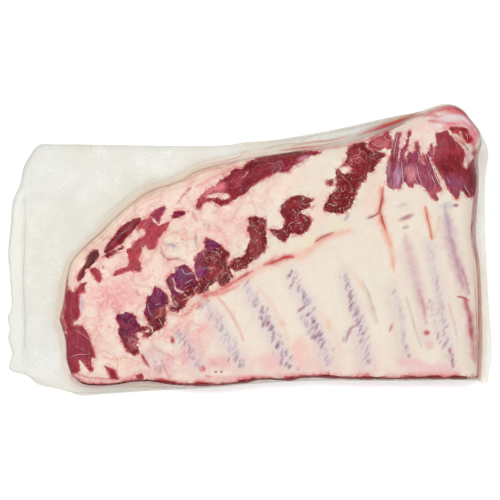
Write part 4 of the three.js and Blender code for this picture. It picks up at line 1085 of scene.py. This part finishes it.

# Strands of white sinew, fat and red vessels that lie on the meat, and two painted glints on the second
# lobe: two fifths as high as wide, drawn out to a tip at both ends and sunk by half. Width at the start
# and the end, colour and course
STRANDS = [
    # Painted highlights on the second lobe: a short white glint, then a lilac glint on its silverskin
    (1.0, 1.0, (240, 222, 214), [(-94, -55.5), (-91.5, -54.5), (-88.5, -54)]),
    (2.6, 1.2, (178, 160, 186), [(-102, -53.5), (-101, -58), (-99.5, -63), (-96.5, -66)]),
    (1.1, 0.9, (232, 208, 200), [(-91.5, -68), (-88.5, -72), (-86.5, -75.5)]),
    (1.5, 0.8, (206, 184, 206), [(-73.5, -18.5), (-71, -20.5), (-68.5, -19.5)]),
    (2.2, 1.6, (208, 190, 208), [(-68, -18), (-66, -22), (-63.5, -25.5)]),
    (2.4, 1.8, (214, 196, 206), [(-64, -25.5), (-59, -23.5), (-54.5, -24)]),
    (2.2, 1.2, (218, 198, 204), [(-64, -34), (-60, -31.5), (-56, -29.5)]),
    (1.8, 1.0, (238, 214, 206), [(-76.5, -47.5), (-74, -45.5)]),
    (1.4, 1.0, (236, 210, 202), [(-75, -50), (-72.5, -53), (-71.5, -56)]),
    (1.0, 1.2, (240, 216, 208), [(-68.5, -52), (-65.5, -50), (-61, -47.5), (-57, -44.5)]),
    (1.2, 0.9, (232, 204, 198), [(-80, -49), (-78, -54)]),
    (1.3, 1.0, (236, 206, 200), [(-78.5, -57), (-74.5, -56.5), (-72.5, -59.5)]),
    (0.8, 1.0, (222, 170, 166), [(-57, -36.5), (-54.5, -41.5), (-47.5, -42.5)]),
    (1.2, 1.6, (236, 222, 220), [(-59, -17), (-55, -22.5), (-53, -27.5), (-50.5, -32.5)]),
    (1.4, 0.9, (226, 206, 212), [(-47, -1.5), (-45.5, -5), (-44.5, -8.5)]),
    (1.0, 0.8, (190, 168, 200), [(-39, -16.5), (-43.5, -18.5), (-47.5, -20.5)]),
    (0.9, 0.7, (206, 170, 160), [(-41, -1.5), (-35, -2), (-30.5, -4.5)]),
    (1.1, 0.9, (224, 190, 180), [(-28.5, -15.5), (-25.5, -18.5), (-28.5, -22.5), (-27, -27),
        (-31.5, -30)]),
    (1.2, 1.5, (232, 202, 192), [(-40, -32), (-42, -36), (-45.5, -39.5)]),
    (0.9, 0.7, (214, 176, 166), [(-24.5, -14), (-22, -17), (-23, -20.5)]),
    (0.8, 0.6, (206, 160, 152), [(-33.5, -21.5), (-31, -26), (-36, -28)]),
    (0.8, 0.6, (196, 148, 142), [(-33.5, -9), (-28.5, -12), (-30.5, -15)]),
    (0.8, 0.7, (210, 168, 160), [(-55, -37.5), (-52, -37.5), (-49.5, -39.5)]),
    (0.8, 0.7, (214, 170, 160), [(-124, -86), (-120.5, -90), (-122, -94.5)]),
    (1.2, 1.0, (206, 170, 172), [(-118.5, -87), (-115, -90), (-110.5, -91)]),
    (1.0, 1.2, (212, 176, 176), [(-119, -94), (-115, -96.5), (-111.5, -100.5)]),
    (1.0, 1.6, (226, 202, 206), [(148, 89.5), (147.5, 83.5), (145.5, 78), (143.5, 74)]),
    (1.6, 1.0, (236, 208, 196), [(166.5, 97.5), (168.5, 93.5), (168, 88.5), (167, 85.5)]),
    (1.2, 2.2, (242, 216, 206), [(184.5, 108.5), (185.5, 105.5), (186.5, 103)]),
    (1.0, 1.2, (214, 188, 202), [(196.5, 72), (198, 68), (199.5, 64.5)]),
    (1.4, 1.0, (240, 214, 196), [(180.5, 75), (182, 71), (183.5, 67)]),
    (0.9, 0.8, (226, 196, 192), [(165.5, 87), (166, 83.5), (166.5, 80)]),
    (0.8, 0.8, (220, 180, 180), [(178.5, 101), (180.5, 96.5), (181, 92.5)]),
    (1.6, 1.0, (240, 200, 196), [(214, 116.5), (216.5, 112.5), (217, 108)]),
    (1.2, 1.4, (236, 214, 190), [(209.5, 116.5), (211, 112.5), (212.5, 108.5)]),
    (0.9, 1.2, (226, 184, 188), [(-178, -79), (-168, -84), (-158.5, -92), (-154, -105.5)]),
    (1.4, 0.8, (214, 180, 190), [(-178, -76.5), (-172.5, -74), (-168, -77)]),
    (1.6, 2.2, (220, 170, 180), [(-181, -108.5), (-171.5, -105), (-159.5, -105)]),
    (0.8, 0.8, (206, 150, 156), [(-176, -95.5), (-166, -100.5), (-156, -105.5)]),
    (0.9, 0.7, (210, 176, 180), [(-144.5, -5.5), (-134.5, 0.5), (-126, 2)]),
    (0.9, 0.8, (216, 170, 172), [(-133, 13), (-123, 18.5), (-116, 21)]),
    (1.0, 0.8, (226, 190, 190), [(-106, 8), (-108, 3.5), (-107, -0.5)]),
    (1.0, 1.0, (196, 150, 164), [(14.5, 83), (19, 86), (24, 84.5), (25.5, 80)]),
    (1.0, 0.9, (206, 162, 174), [(24.5, 87.5), (29, 85), (31, 80), (27, 77.5)]),
    (1.0, 1.0, (206, 166, 180), [(25.5, 88), (32, 87), (34.5, 81)]),
    (0.9, 0.8, (190, 140, 152), [(4, 81), (9, 84), (14, 81)]),
    (1.0, 1.2, (208, 176, 196), [(34.5, 76), (42, 79.5), (49, 83), (59, 89.5)]),
    (0.8, 0.8, (176, 120, 130), [(2, 88), (7, 87), (11.5, 88)]),
    (0.7, 0.7, (214, 170, 168), [(82, 56), (85, 52.5), (88, 48)]),
    (0.8, 0.7, (222, 184, 178), [(96.5, 78.5), (102, 76), (107, 77.5)]),
    (0.8, 0.7, (216, 172, 168), [(107, 99.5), (115.5, 96), (117, 88)]),
    (0.8, 0.7, (212, 164, 160), [(100.5, 88), (107, 86), (114, 81)]),
    (0.8, 0.8, (218, 176, 170), [(92, 71), (98, 68), (102, 61)]),
    (0.9, 0.7, (222, 186, 180), [(100.5, 89.5), (110.5, 91), (117, 84.5)]),
    (1.0, 0.8, (226, 190, 186), [(50.5, 48), (55.5, 44.5), (62, 48)]),
    (0.9, 0.8, (222, 182, 178), [(49, 51), (57, 53), (63, 49.5)]),
    (1.4, 1.0, (216, 180, 190), [(48, 30.5), (49, 36), (55.5, 36.5)]),
    (1.6, 2.0, (222, 170, 176), [(38, 23), (40.5, 26), (45.5, 27.5)]),
    (1.6, 1.2, (246, 222, 210), [(-8, 71), (-3, 75), (-1, 79.5)]),
    (1.4, 1.2, (238, 210, 200), [(123, 101), (130.5, 97), (139, 96)]),
    (1.4, 1.0, (240, 208, 200), [(120.5, 108), (127, 103), (137, 104.5)]),
    (1.2, 1.0, (236, 196, 190), [(132, 116), (137, 109.5), (142, 108)]),
    (1.6, 0.8, (244, 224, 214), [(148, 116), (144.3, 99.5), (143.6, 89.5)]),
    (1.3, 2.2, (238, 222, 222), [(151, 89.5), (152.4, 74.5), (153.6, 61)]),
    (1.6, 0.9, (244, 222, 212), [(163, 113), (160, 101), (156.2, 93)]),
    (1.0, 1.2, (246, 222, 210), [(168, 94.5), (171, 87), (173.6, 84.5)]),
    (1.0, 1.6, (244, 218, 204), [(166.8, 84.5), (168, 74.5), (173, 62)]),
    (0.8, 1.5, (244, 218, 200), [(163, 79.5), (165.5, 69.5), (171.5, 60)]),
    (1.4, 0.9, (246, 226, 214), [(171.8, 116), (171.8, 104.5), (174.3, 94.5), (176.8, 87)]),
    (1.4, 2.2, (246, 222, 204), [(175.5, 97), (179.3, 89.5), (183, 79.5), (186.8, 69.5), (192, 60)]),
    (1.6, 1.0, (242, 214, 206), [(179.3, 105.8), (185.5, 105.8), (186.8, 102)]),
    (1.0, 1.0, (236, 204, 206), [(181.8, 73.3), (184.3, 65.8), (185.5, 61)]),
    (0.9, 1.6, (240, 214, 206), [(213, 65), (216, 60), (221, 52.5)]),
    (0.8, 1.2, (240, 210, 200), [(210, 57), (212, 54), (214.5, 51)]),
    (0.8, 0.8, (224, 190, 206), [(157, 86), (158.5, 78), (158, 70)]),
    (0.7, 0.8, (222, 186, 204), [(146, 92), (146.5, 80), (147.5, 68)]),
    (0.8, 0.7, (226, 186, 200), [(176, 82), (178.5, 74), (181, 66)]),
    (1.2, 2.2, (176, 34, 44), [(133, 54), (131.5, 47), (130, 40), (129.5, 37)]),
    (2.2, 1.0, (206, 66, 62), [(130, 38), (132, 31), (134, 24), (138, 14)]),
    (1.6, 1.0, (196, 60, 76), [(130.5, 37.5), (126, 34.5), (120, 31.5)]),
    (1.2, 3.4, (216, 42, 50), [(18, -15), (28, -11), (36, -7.5), (43, -8)]),
    (1.8, 0.8, (234, 112, 80), [(175, 43), (177, 32), (180, 20), (182, 8)]),
    (1.2, 2.0, (206, 56, 70), [(206, -47), (212, -47.5), (217, -50)]),
    (1.6, 0.9, (212, 40, 56), [(203, 142), (213, 136.5), (221, 128.5), (229, 117)]),
    (1.2, 0.9, (196, 60, 64), [(118, 110.5), (131, 115.5), (143, 120.5), (155, 126)]),
    (1.2, 1.0, (196, 46, 56), [(226, 86), (224.5, 64), (222.5, 40), (221, 14), (223, -8)]),
    (1.0, 1.2, (222, 116, 86), [(223.5, -14), (225.5, -45), (227, -82), (227, -122)]),
    (0.9, 0.7, (206, 74, 80), [(-12, -30), (-6, -26), (0, -22)]),
    (1.4, 0.9, (176, 36, 54), [(-109, -104), (-105, -110), (-100, -118)]),
]
skin_tree = BVHTree.FromPolygons((points * MM).tolist(), faces)


def resting(over, x, y):
    """Height in millimetres of the surface under a point of the plan, or none beside it."""
    hit = over.ray_cast((x * MM, y * MM, 100 * MM), (0, 0, -1))[0]
    return hit.z / MM if hit else None


def laid_lines(name, lines, over):
    """A mesh of open or closed lines laid on a surface, with a half width and a colour at each point."""
    spots, links, half_widths, colours = [], [], [], []
    for course, start_width, end_width, colour, closed in lines:
        line = smooth_line(course, closed=closed, per_span=6)
        share = np.linspace(0, 1, len(line))
        first = len(spots)
        for (x, y), s in zip(line, share):
            z = resting(over, x, y)
            spots.append((x, y, z if z is not None else spots[-1][2]))
            tip = 1 if closed else min(1, 0.12 + 3.2 * min(s, 1 - s))
            half_widths.append(0.5 * (start_width + (end_width - start_width) * s) * tip)
            colours.append(seen(colour))
        count = len(line)
        links += [(first + k, first + k + 1) for k in range(count - 1)]
        if closed:
            links.append((first + count - 1, first))
    mesh = bpy.data.meshes.new(name)
    mesh.from_pydata((np.array(spots) * MM).tolist(), links, [])
    piece = bpy.data.objects.new(name, mesh)
    bpy.context.scene.collection.objects.link(piece)
    store(piece, "half_width", np.array(half_widths) * MM)
    store(piece, "strand_colour", np.array(colours))
    return piece


sweep = bpy.data.node_groups.new("strands_along_lines", "GeometryNodeTree")
given = new_sockets(sweep, {"Lines": "Geometry", "Sides": "Int", "Height": "Float",
                            "Surface": "Material"})
curves = add_node(sweep, "GeometryNodeMeshToCurve", {"Mesh": given["Lines"]})
curves = add_node(sweep, "GeometryNodeSetCurveNormal", {"Curve": curves.outputs[0]}, mode="Z_UP")
ring = add_node(sweep, "GeometryNodeCurvePrimitiveCircle", {"Resolution": given["Sides"], "Radius": 1.0})
flat = add_node(sweep, "ShaderNodeCombineXYZ", {0: given["Height"], 1: 1.0, 2: 1.0})
ring = add_node(sweep, "GeometryNodeTransform", {"Geometry": ring.outputs["Curve"],
                                                 "Scale": flat.outputs[0]})
width = add_node(sweep, "GeometryNodeInputNamedAttribute", {"Name": "half_width"}, data_type="FLOAT")
swept = add_node(sweep, "GeometryNodeCurveToMesh", {
    "Curve": curves.outputs[0], "Profile Curve": ring.outputs[0], "Scale": width.outputs[0],
    "Fill Caps": True})
finish_tree(sweep, swept, given["Surface"])

sinew, tree, shader = new_surface("white_sinew")
place = millimetres(tree)
thread = stepped(tree, noise(tree, place, 0.9, 3, 0.6), 0.3, 0.7, 0.86, 1.08)
pale = shaded(tree, read(tree, "strand_colour", "Color"), thread)
blush = stepped(tree, noise(tree, place, 0.35, 2), 0.5, 0.7, 0.0, 0.25)
tree.links.new(mixed(tree, blush, pale, seen((222, 150, 146))), shader.inputs["Base Color"])
bumped(tree, shader, thread, 0.0003, 0.5)
shader.inputs["Roughness"].default_value = 0.45
shader.inputs["Specular IOR Level"].default_value = 0.15

strips = STRANDS + [(0.5 * a, 0.5 * b, colour, course) for a, b, colour, course in FAT_STREAKS]
strand_lines = [(course, a, b, colour, False) for a, b, colour, course in strips]
lines = laid_lines("strand_lines", strand_lines, skin_tree)
strands = grown(lines, sweep, {"Sides": 10, "Height": 0.4, "Surface": sinew}, "strands_of_sinew")
strands.data.shade_smooth()
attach(strands, "root")
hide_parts("bagged_ribs")

# The vacuum bag: a clear film that clings to the rack, falls from its edge in a hollow curve and lies
# flat out to the bag's edge. It is welded across the flank end, where it is whiter and puckered, and
# the air is drawn out of it
BAG_EDGE = [
    (238, -133.5), (229, -131.6), (150, -131.7), (60, -131.7), (0, -135), (-40, -138.6),
    (-100, -141.5), (-144, -144.5), (-170, -146), (-184, -141), (-212, -135), (-222, -127),
    (-241, -119.5), (-238, -105), (-242, -89), (-240.5, -80), (-242.5, -69), (-239, -58), (-240, -30),
    (-242, -4), (-239.5, 26), (-237.5, 48), (-230, 66), (-227, 81), (-220, 95), (-211, 105),
    (-196, 105.5), (-25, 104.5), (-5, 107.5), (20, 109.5), (60, 115.5), (100, 123.5), (140, 132.5),
    (171, 138.5), (192, 145.5), (201, 145.8), (213, 141), (221, 131), (234, 112), (239, 97), (236, 70),
    (236, 25), (239, -50), (242.5, -105), (240, -122),
]
FILM_ALONG, FILM_ACROSS, FILM_LOOPS, FILM_UNDER_STEP = 256, 160, 26, 4
FILM_EDGE, FILM_BASE, CLEARANCE, CLING, SEAL_FROM, BELOW_CUT = 1.8, 0.12, 0.3, 0.8, -224.0, 0.7
# The share of the loops on the falling film, and half the bag's length
FALL_SHARE, HALF_BAG = 0.4, 240
# Haze of the film: everywhere, more where it is narrow, more on the strip by the breastbone, unevenness,
# and more beyond the weld
HAZE, NARROW_HAZE, STRIP_HAZE, UNEVEN_HAZE, SEALED_HAZE = 0.42, 0.15, 0.15, 0.04, 0.14

film_edges = [smooth_line(edge) for edge in (SAWN_EDGE, BELLY_EDGE, FLANK_EDGE, BREAST_EDGE)]
film_edges[0] = film_edges[0] - (0, BELOW_CUT)
for side, corner in ((film_edges[2], film_edges[0][0]), (film_edges[3], film_edges[0][-1])):
    side[0] = corner
film_plan = patch_between(spread(film_edges[0], FILM_ALONG), spread(film_edges[1], FILM_ALONG),
                          spread(film_edges[2], FILM_ACROSS), spread(film_edges[3], FILM_ACROSS))
fx, fy = film_plan[..., 0], film_plan[..., 1]
held = np.array([resting(skin_tree, x, y) or 0.0 for x, y in film_plan.reshape(-1, 2)]).reshape(fx.shape)
for _ in range(4):
    padded = np.pad(held, 1, mode="edge")
    beside = (padded[:-2, 1:-1] + padded[2:, 1:-1] + padded[1:-1, :-2] + padded[1:-1, 2:]) / 4
    held = np.maximum(held, beside)
from_edge = np.min([np.hypot(fx - fx[row], fy - fy[row]) for row in (slice(0, 1), slice(-1, None))]
                   + [np.hypot(fx - fx[:, row], fy - fy[:, row]) for row in (slice(0, 1), slice(-1, None))],
                   axis=0)
film_height = form_height(film_plan) + CLEARANCE
film_height += (held + CLING - film_height) * ease(from_edge, 2, 9)
film_top = np.dstack([fx * 1.002, fy * 1.002, film_height])
film_rim = rim_of(film_top)
bag_line = smooth_line(BAG_EDGE, closed=True, per_span=6)


def bag_beyond(spots, outline):
    """Where the ray from the middle through each point meets the bag's edge."""
    a, b = outline, np.roll(outline, -1, axis=0)
    x, y = spots[:, :1], spots[:, 1:2]
    turn = x * (b[:, 1] - a[:, 1]) - y * (b[:, 0] - a[:, 0])
    turn = np.where(np.abs(turn) < 1e-9, 1e-9, turn)
    reach = (a[:, 0] * (b[:, 1] - a[:, 1]) - a[:, 1] * (b[:, 0] - a[:, 0])) / turn
    along = (a[:, 0] * y - a[:, 1] * x) / turn
    reach = np.where((along >= 0) & (along <= 1) & (reach > 0), reach, 0).max(axis=1)
    return spots[:, :2] * np.maximum(reach, 1.001)[:, None]


bag_spots = bag_beyond(film_rim, bag_line)
gap = bag_spots - film_rim[:, :2]
width = np.hypot(gap[:, 0], gap[:, 1])
fall = np.minimum(0.6 * width, 0.9 * film_rim[:, 2])
round_rim = way_along(film_rim[:, :2])
narrow = 1 - ease(width, 8, 30)
saw_side = np.zeros(len(film_rim))
saw_side[4:FILM_ALONG - 3] = 1
bare = 1 - 0.85 * saw_side * (1 - ease(width, 4, 9))
COOL, WARM, WHITE, CREAM = np.array([(0.50, 0.495, 0.43), (0.66, 0.54, 0.40), (0.90, 0.91, 0.89),
                                     (0.98, 0.90, 0.78)])
# Where the film clings by the rack it takes a lightened copy of the meat's rim colour, a painted reflection
# of the meat
nearest = [int(np.argmin(np.hypot(start[:, 0] - x, start[:, 1] - y))) for x, y in film_rim[:, :2]]
meat_reflection = rim_of(fat_colour)[nearest]
meat_reflection = np.mean([np.roll(meat_reflection, k, axis=0) for k in range(-7, 8)], axis=0)
reflected_meat_colour = np.minimum(1.1 * meat_reflection + 0.12, 0.95)
# Red juice drawn into the film's creases: half width, colour and course
JUICE = [
    (2.3, (206, 16, 40), [(106, 114.5), (126, 120.5), (144.5, 126.8), (160.5, 132), (174, 137)]),
    (1.1, (224, 90, 70), [(118, 121), (136, 126.3), (154, 132), (168, 137)]),
    (1.3, (224, 80, 74), [(28, 99), (50, 101.5), (72, 102.8), (92, 106)]),
    (0.9, (222, 140, 116), [(40, 103), (62, 107.5), (84, 110), (104, 116)]),
]
film_loops, film_haze, film_colour = [], [], []
for k in range(1, FILM_LOOPS + 1):
    share = k / FILM_LOOPS
    if share <= FALL_SHARE:
        out = fall * share / FALL_SHARE
    else:
        out = fall + (width - fall) * (share - FALL_SHARE) / (1 - FALL_SHARE)
    drop = np.maximum(0, 1 - out / fall) ** 2
    spots = film_rim[:, :2] + gap * (out / width)[:, None]
    x, y = spots.T
    slack = ease(width, 4, 20) * ease(share, 0.0, 0.15)
    pleats = (1 - np.abs(waves(round_rim, np.full(len(x), 3.0), 9, 32))) ** 6 * np.exp(-(out - fall) / 9)
    sealed = ease(-x, -SEAL_FROM, -SEAL_FROM + 5)
    pucker = waves(x, y * 0.35, 1.6, 33) * (0.35 + 0.65 * waves(x * 0.1, y, 9, 34) ** 2)
    swell = 0.5 * waves(x, y, 26, 35) + 0.2 * waves(x, y, 9, 36)
    z = FILM_EDGE + (film_rim[:, 2] - FILM_EDGE) * drop
    z += slack * ((1 - drop) * (swell * (1 - share ** 6) + 0.9 * pleats) + 0.5 * sealed * pucker)
    film_loops.append(np.column_stack([spots, z]))
    by_meat = np.exp(-((out - 0.45 * fall) / 3.5) ** 2) * bare * (1 - 0.5 * narrow)
    strip = narrow * ease(x, 150, 200)
    amount = HAZE + NARROW_HAZE * narrow + STRIP_HAZE * strip + UNEVEN_HAZE * waves(x, y, 16, 37)
    amount = amount * bare + SEALED_HAZE * sealed
    clinging = (1 - ease(out / fall, 0.25, 0.6)) * bare
    film_haze.append(np.maximum((amount + 0.16 * by_meat) * ease(out / fall, 0.04, 0.5), 0.6 * clinging))
    by_meat = by_meat[:, None]
    # Painted reflection of the meat: a warmer tone a few millimetres out from the rack
    shade = COOL + (WARM - COOL) * by_meat
    # Painted light: cream on the film's falling wall, over the shade beside the rack
    shade += (CREAM - shade) * (1 - ease(out / fall, 0.3, 0.7))[:, None]
    # Whiter where the film is narrow and on the strip by the breastbone, painted light over the rack's shade
    # on the floor below; whiter beyond the weld, the film's own colour
    shade += (WHITE - shade) * np.maximum(0.4 * narrow + 0.6 * strip, 0.4 * sealed)[:, None]
    # Painted reflection of the meat on the clinging film
    shade += (reflected_meat_colour - shade) * np.clip(clinging, 0, 1)[:, None]
    for half, colour, course in JUICE:
        near, away, along = along_course(x, y, course, 3 * half)
        weight = np.exp(-(away / half) ** 2) * np.sin(np.pi * along) ** 0.5
        shade[near] += (seen(colour) - shade[near]) * weight[:, None]
        film_haze[-1][near] = np.maximum(film_haze[-1][near], 0.95 * weight)
    film_colour.append(shade)
for inward, height in ((0.15, 0.6), (0.4, FILM_BASE)):
    film_loops.append(np.column_stack([bag_spots * (1 - inward / HALF_BAG),
                                       np.full(len(bag_spots), height)]))
    film_haze.append(np.full(len(bag_spots), 0.3))
    film_colour.append(np.broadcast_to(WHITE, (len(bag_spots), 3)))
film_points, film_faces = closed_skin(film_top, film_loops, FILM_UNDER_STEP)
film = add_mesh("clear_bag", film_points, film_faces)
top_haze, top_colour = np.zeros(fx.size), np.tile(COOL, (fx.size, 1))
top_rim = rim_of(np.arange(fx.size).reshape(fx.shape))
# The rim of the film's top gets the same painted reflection of the meat
top_haze[top_rim], top_colour[top_rim] = 0.55 * bare, reflected_meat_colour
rest = len(film_points) - fx.size - len(film_rim) * len(film_loops)
store(film, "haze", np.concatenate([top_haze, *film_haze, np.full(rest, 0.02)]))
store(film, "film_colour", np.concatenate([top_colour, *film_colour, np.tile(COOL, (rest, 1))]))

clear, tree, shader = new_surface("clear_film")
place = millimetres(tree)
film_tint = read(tree, "film_colour", "Color")
patches = stepped(tree, noise(tree, place, 0.012, 3, 0.5), 0.4, 0.62)
warmer = mixed(tree, 1.0, film_tint, (1.0, 0.94, 0.84), "MULTIPLY")
tree.links.new(mixed(tree, patches, film_tint, warmer), shader.inputs["Base Color"])
gloss = add_node(tree, "ShaderNodeLayerWeight", {"Blend": 0.2}).outputs["Fresnel"]
uneven = stepped(tree, noise(tree, place, 0.07, 3), 0.3, 0.7, 0.94, 1.05)
haze = times(tree, read(tree, "haze"), uneven)
shine = times(tree, gloss, 0.08)
tree.links.new(maths(tree, "ADD", haze, shine, clamp=True), shader.inputs["Alpha"])
bumped(tree, shader, noise(tree, place, 0.16, 3, 0.55), 0.0008, 0.06)
shader.inputs["Roughness"].default_value = 0.3
shader.inputs["IOR"].default_value = 1.49
film.data.materials.append(clear)
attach(film, "root")
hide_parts("bagged_ribs")

# Folds of slack film round the rack, the line of the weld and the bag's cut edge: parts of the film
# that show as thin lines on it. Course, width at the start and the end, and colour
FOLDS = [
    ([(-34, 85), (-24.5, 88.5), (-9.5, 93.5), (-5.5, 98.5), (3.5, 95)], 1.2, 0.8, (222, 150, 124)),
    ([(4.5, 95), (20, 102.5), (38.5, 106), (50.5, 107), (60, 113)], 1.2, 0.8, (232, 178, 150)),
    ([(34.5, 98), (56, 103.5), (75.5, 105.5), (96, 109), (110, 114)], 1.0, 0.7, (232, 170, 150)),
    ([(60.5, 101), (80.5, 106), (104, 112.5), (128, 120)], 1.0, 0.7, (214, 190, 150)),
    ([(-28, 102), (20, 107), (62, 113.5), (104, 122), (144, 131), (168, 136)], 0.9, 0.9, (216, 196, 160)),
    ([(110, 119), (130, 124.5), (150, 131), (170, 136.5)], 1.2, 1.0, (240, 226, 190)),
    ([(176, 138.5), (188, 142.5), (200, 144.5)], 1.0, 1.2, (206, 78, 90)),
    ([(-150, 31), (-132, 46), (-108, 64), (-84, 76)], 0.8, 0.6, (246, 214, 186)),
    ([(-196, -138), (-178, -143), (-160, -143.5), (-120, -141.5)], 0.9, 0.8, (224, 196, 150)),
    ([(-226, 70), (-225, 20), (-227, -30), (-225, -80), (-228, -116)], 1.4, 1.4, (244, 240, 228)),
    ([(-140, -138), (-110, -137.5), (-80, -138), (-50, -137)], 0.9, 0.6, (226, 176, 140)),
]
folded, tree, shader = new_surface("folded_film")
place = millimetres(tree)
patchy = stepped(tree, noise(tree, place, 0.08, 3, 0.6), 0.35, 0.65, 0.6, 1.0)
tree.links.new(read(tree, "strand_colour", "Color"), shader.inputs["Base Color"])
tree.links.new(patchy, shader.inputs["Alpha"])
bumped(tree, shader, noise(tree, place, 0.5, 2), 0.0003, 0.4)
shader.inputs["Roughness"].default_value = 0.25

film_tree = BVHTree.FromPolygons((film_points * MM).tolist(), film_faces)
fold_lines = [(course, a, b, colour, False) for course, a, b, colour in FOLDS]
fold_lines.append(([tuple(spot) for spot in bag_line[::6] * 0.9975], 0.5, 0.5, (240, 234, 216), True))
lines = laid_lines("fold_lines", fold_lines, film_tree)
folds = grown(lines, sweep, {"Sides": 8, "Height": 0.4, "Surface": folded}, "folds_of_film")
folds.data.shade_smooth()
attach(folds, "root")
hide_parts("bagged_ribs")

# The floor and the light: a pale sheet under soft lamps set round the sides, as for a packshot
FLOOR, FLOOR_LEVEL = 3.0, -0.0004
floor_mesh = bpy.data.meshes.new("floor")
corners = [(-FLOOR, -FLOOR), (FLOOR, -FLOOR), (FLOOR, FLOOR), (-FLOOR, FLOOR)]
floor_mesh.from_pydata([(x, y, FLOOR_LEVEL) for x, y in corners], [], [(0, 1, 2, 3)])
floor = bpy.data.objects.new("floor", floor_mesh)
bpy.context.scene.collection.objects.link(floor)
sheet, tree, shader = new_surface("pale_floor")
grainy = stepped(tree, noise(tree, millimetres(tree), 0.02, 3), 0.3, 0.7, 0.95, 0.97)
grainy = add_node(tree, "ShaderNodeCombineColor", {0: grainy, 1: grainy, 2: grainy}).outputs[0]
tree.links.new(grainy, shader.inputs["Base Color"])
shader.inputs["Roughness"].default_value = 0.8
floor.data.materials.append(sheet)

world = bpy.data.worlds.new("soft_light")
world.use_nodes = True
background = world.node_tree.nodes["Background"]
background.inputs["Color"].default_value = (1, 1, 1, 1)
background.inputs["Strength"].default_value = 0.5
bpy.context.scene.world = world
LAMPS = [((-0.9, 0.8, 1.75), 18), ((0.9, 0.8, 1.75), 13), ((-0.85, -0.85, 1.75), 11),
         ((0.9, -0.8, 1.75), 10)]
for number, (spot, power) in enumerate(LAMPS):
    lamp = bpy.data.lights.new(f"lamp_{number}", "AREA")
    lamp.energy, lamp.size = power, 1.1
    holder = bpy.data.objects.new(f"lamp_{number}", lamp)
    holder.location = spot
    holder.rotation_euler = (-holder.location).to_track_quat("-Z", "Y").to_euler()
    bpy.context.scene.collection.objects.link(holder)

# The camera looks straight down. At the height of the meat's middle half a metre fills its frame, and
# it stands half a pixel off the middle
HEIGHT, MEAT_HEIGHT, FRAME_WIDTH, HALF_PIXEL, SENSOR = 4.0, 0.012, 0.5, 0.0005, 36.0
lens = bpy.data.cameras.new("overhead")
lens.sensor_width = SENSOR
lens.lens = SENSOR * (HEIGHT - MEAT_HEIGHT) / FRAME_WIDTH
lens.clip_end = 20
camera = bpy.data.objects.new("overhead", lens)
camera.location = (HALF_PIXEL, -HALF_PIXEL, HEIGHT)
bpy.context.scene.collection.objects.link(camera)
bpy.context.scene.camera = camera
bpy.context.scene.view_settings.view_transform = "Standard"
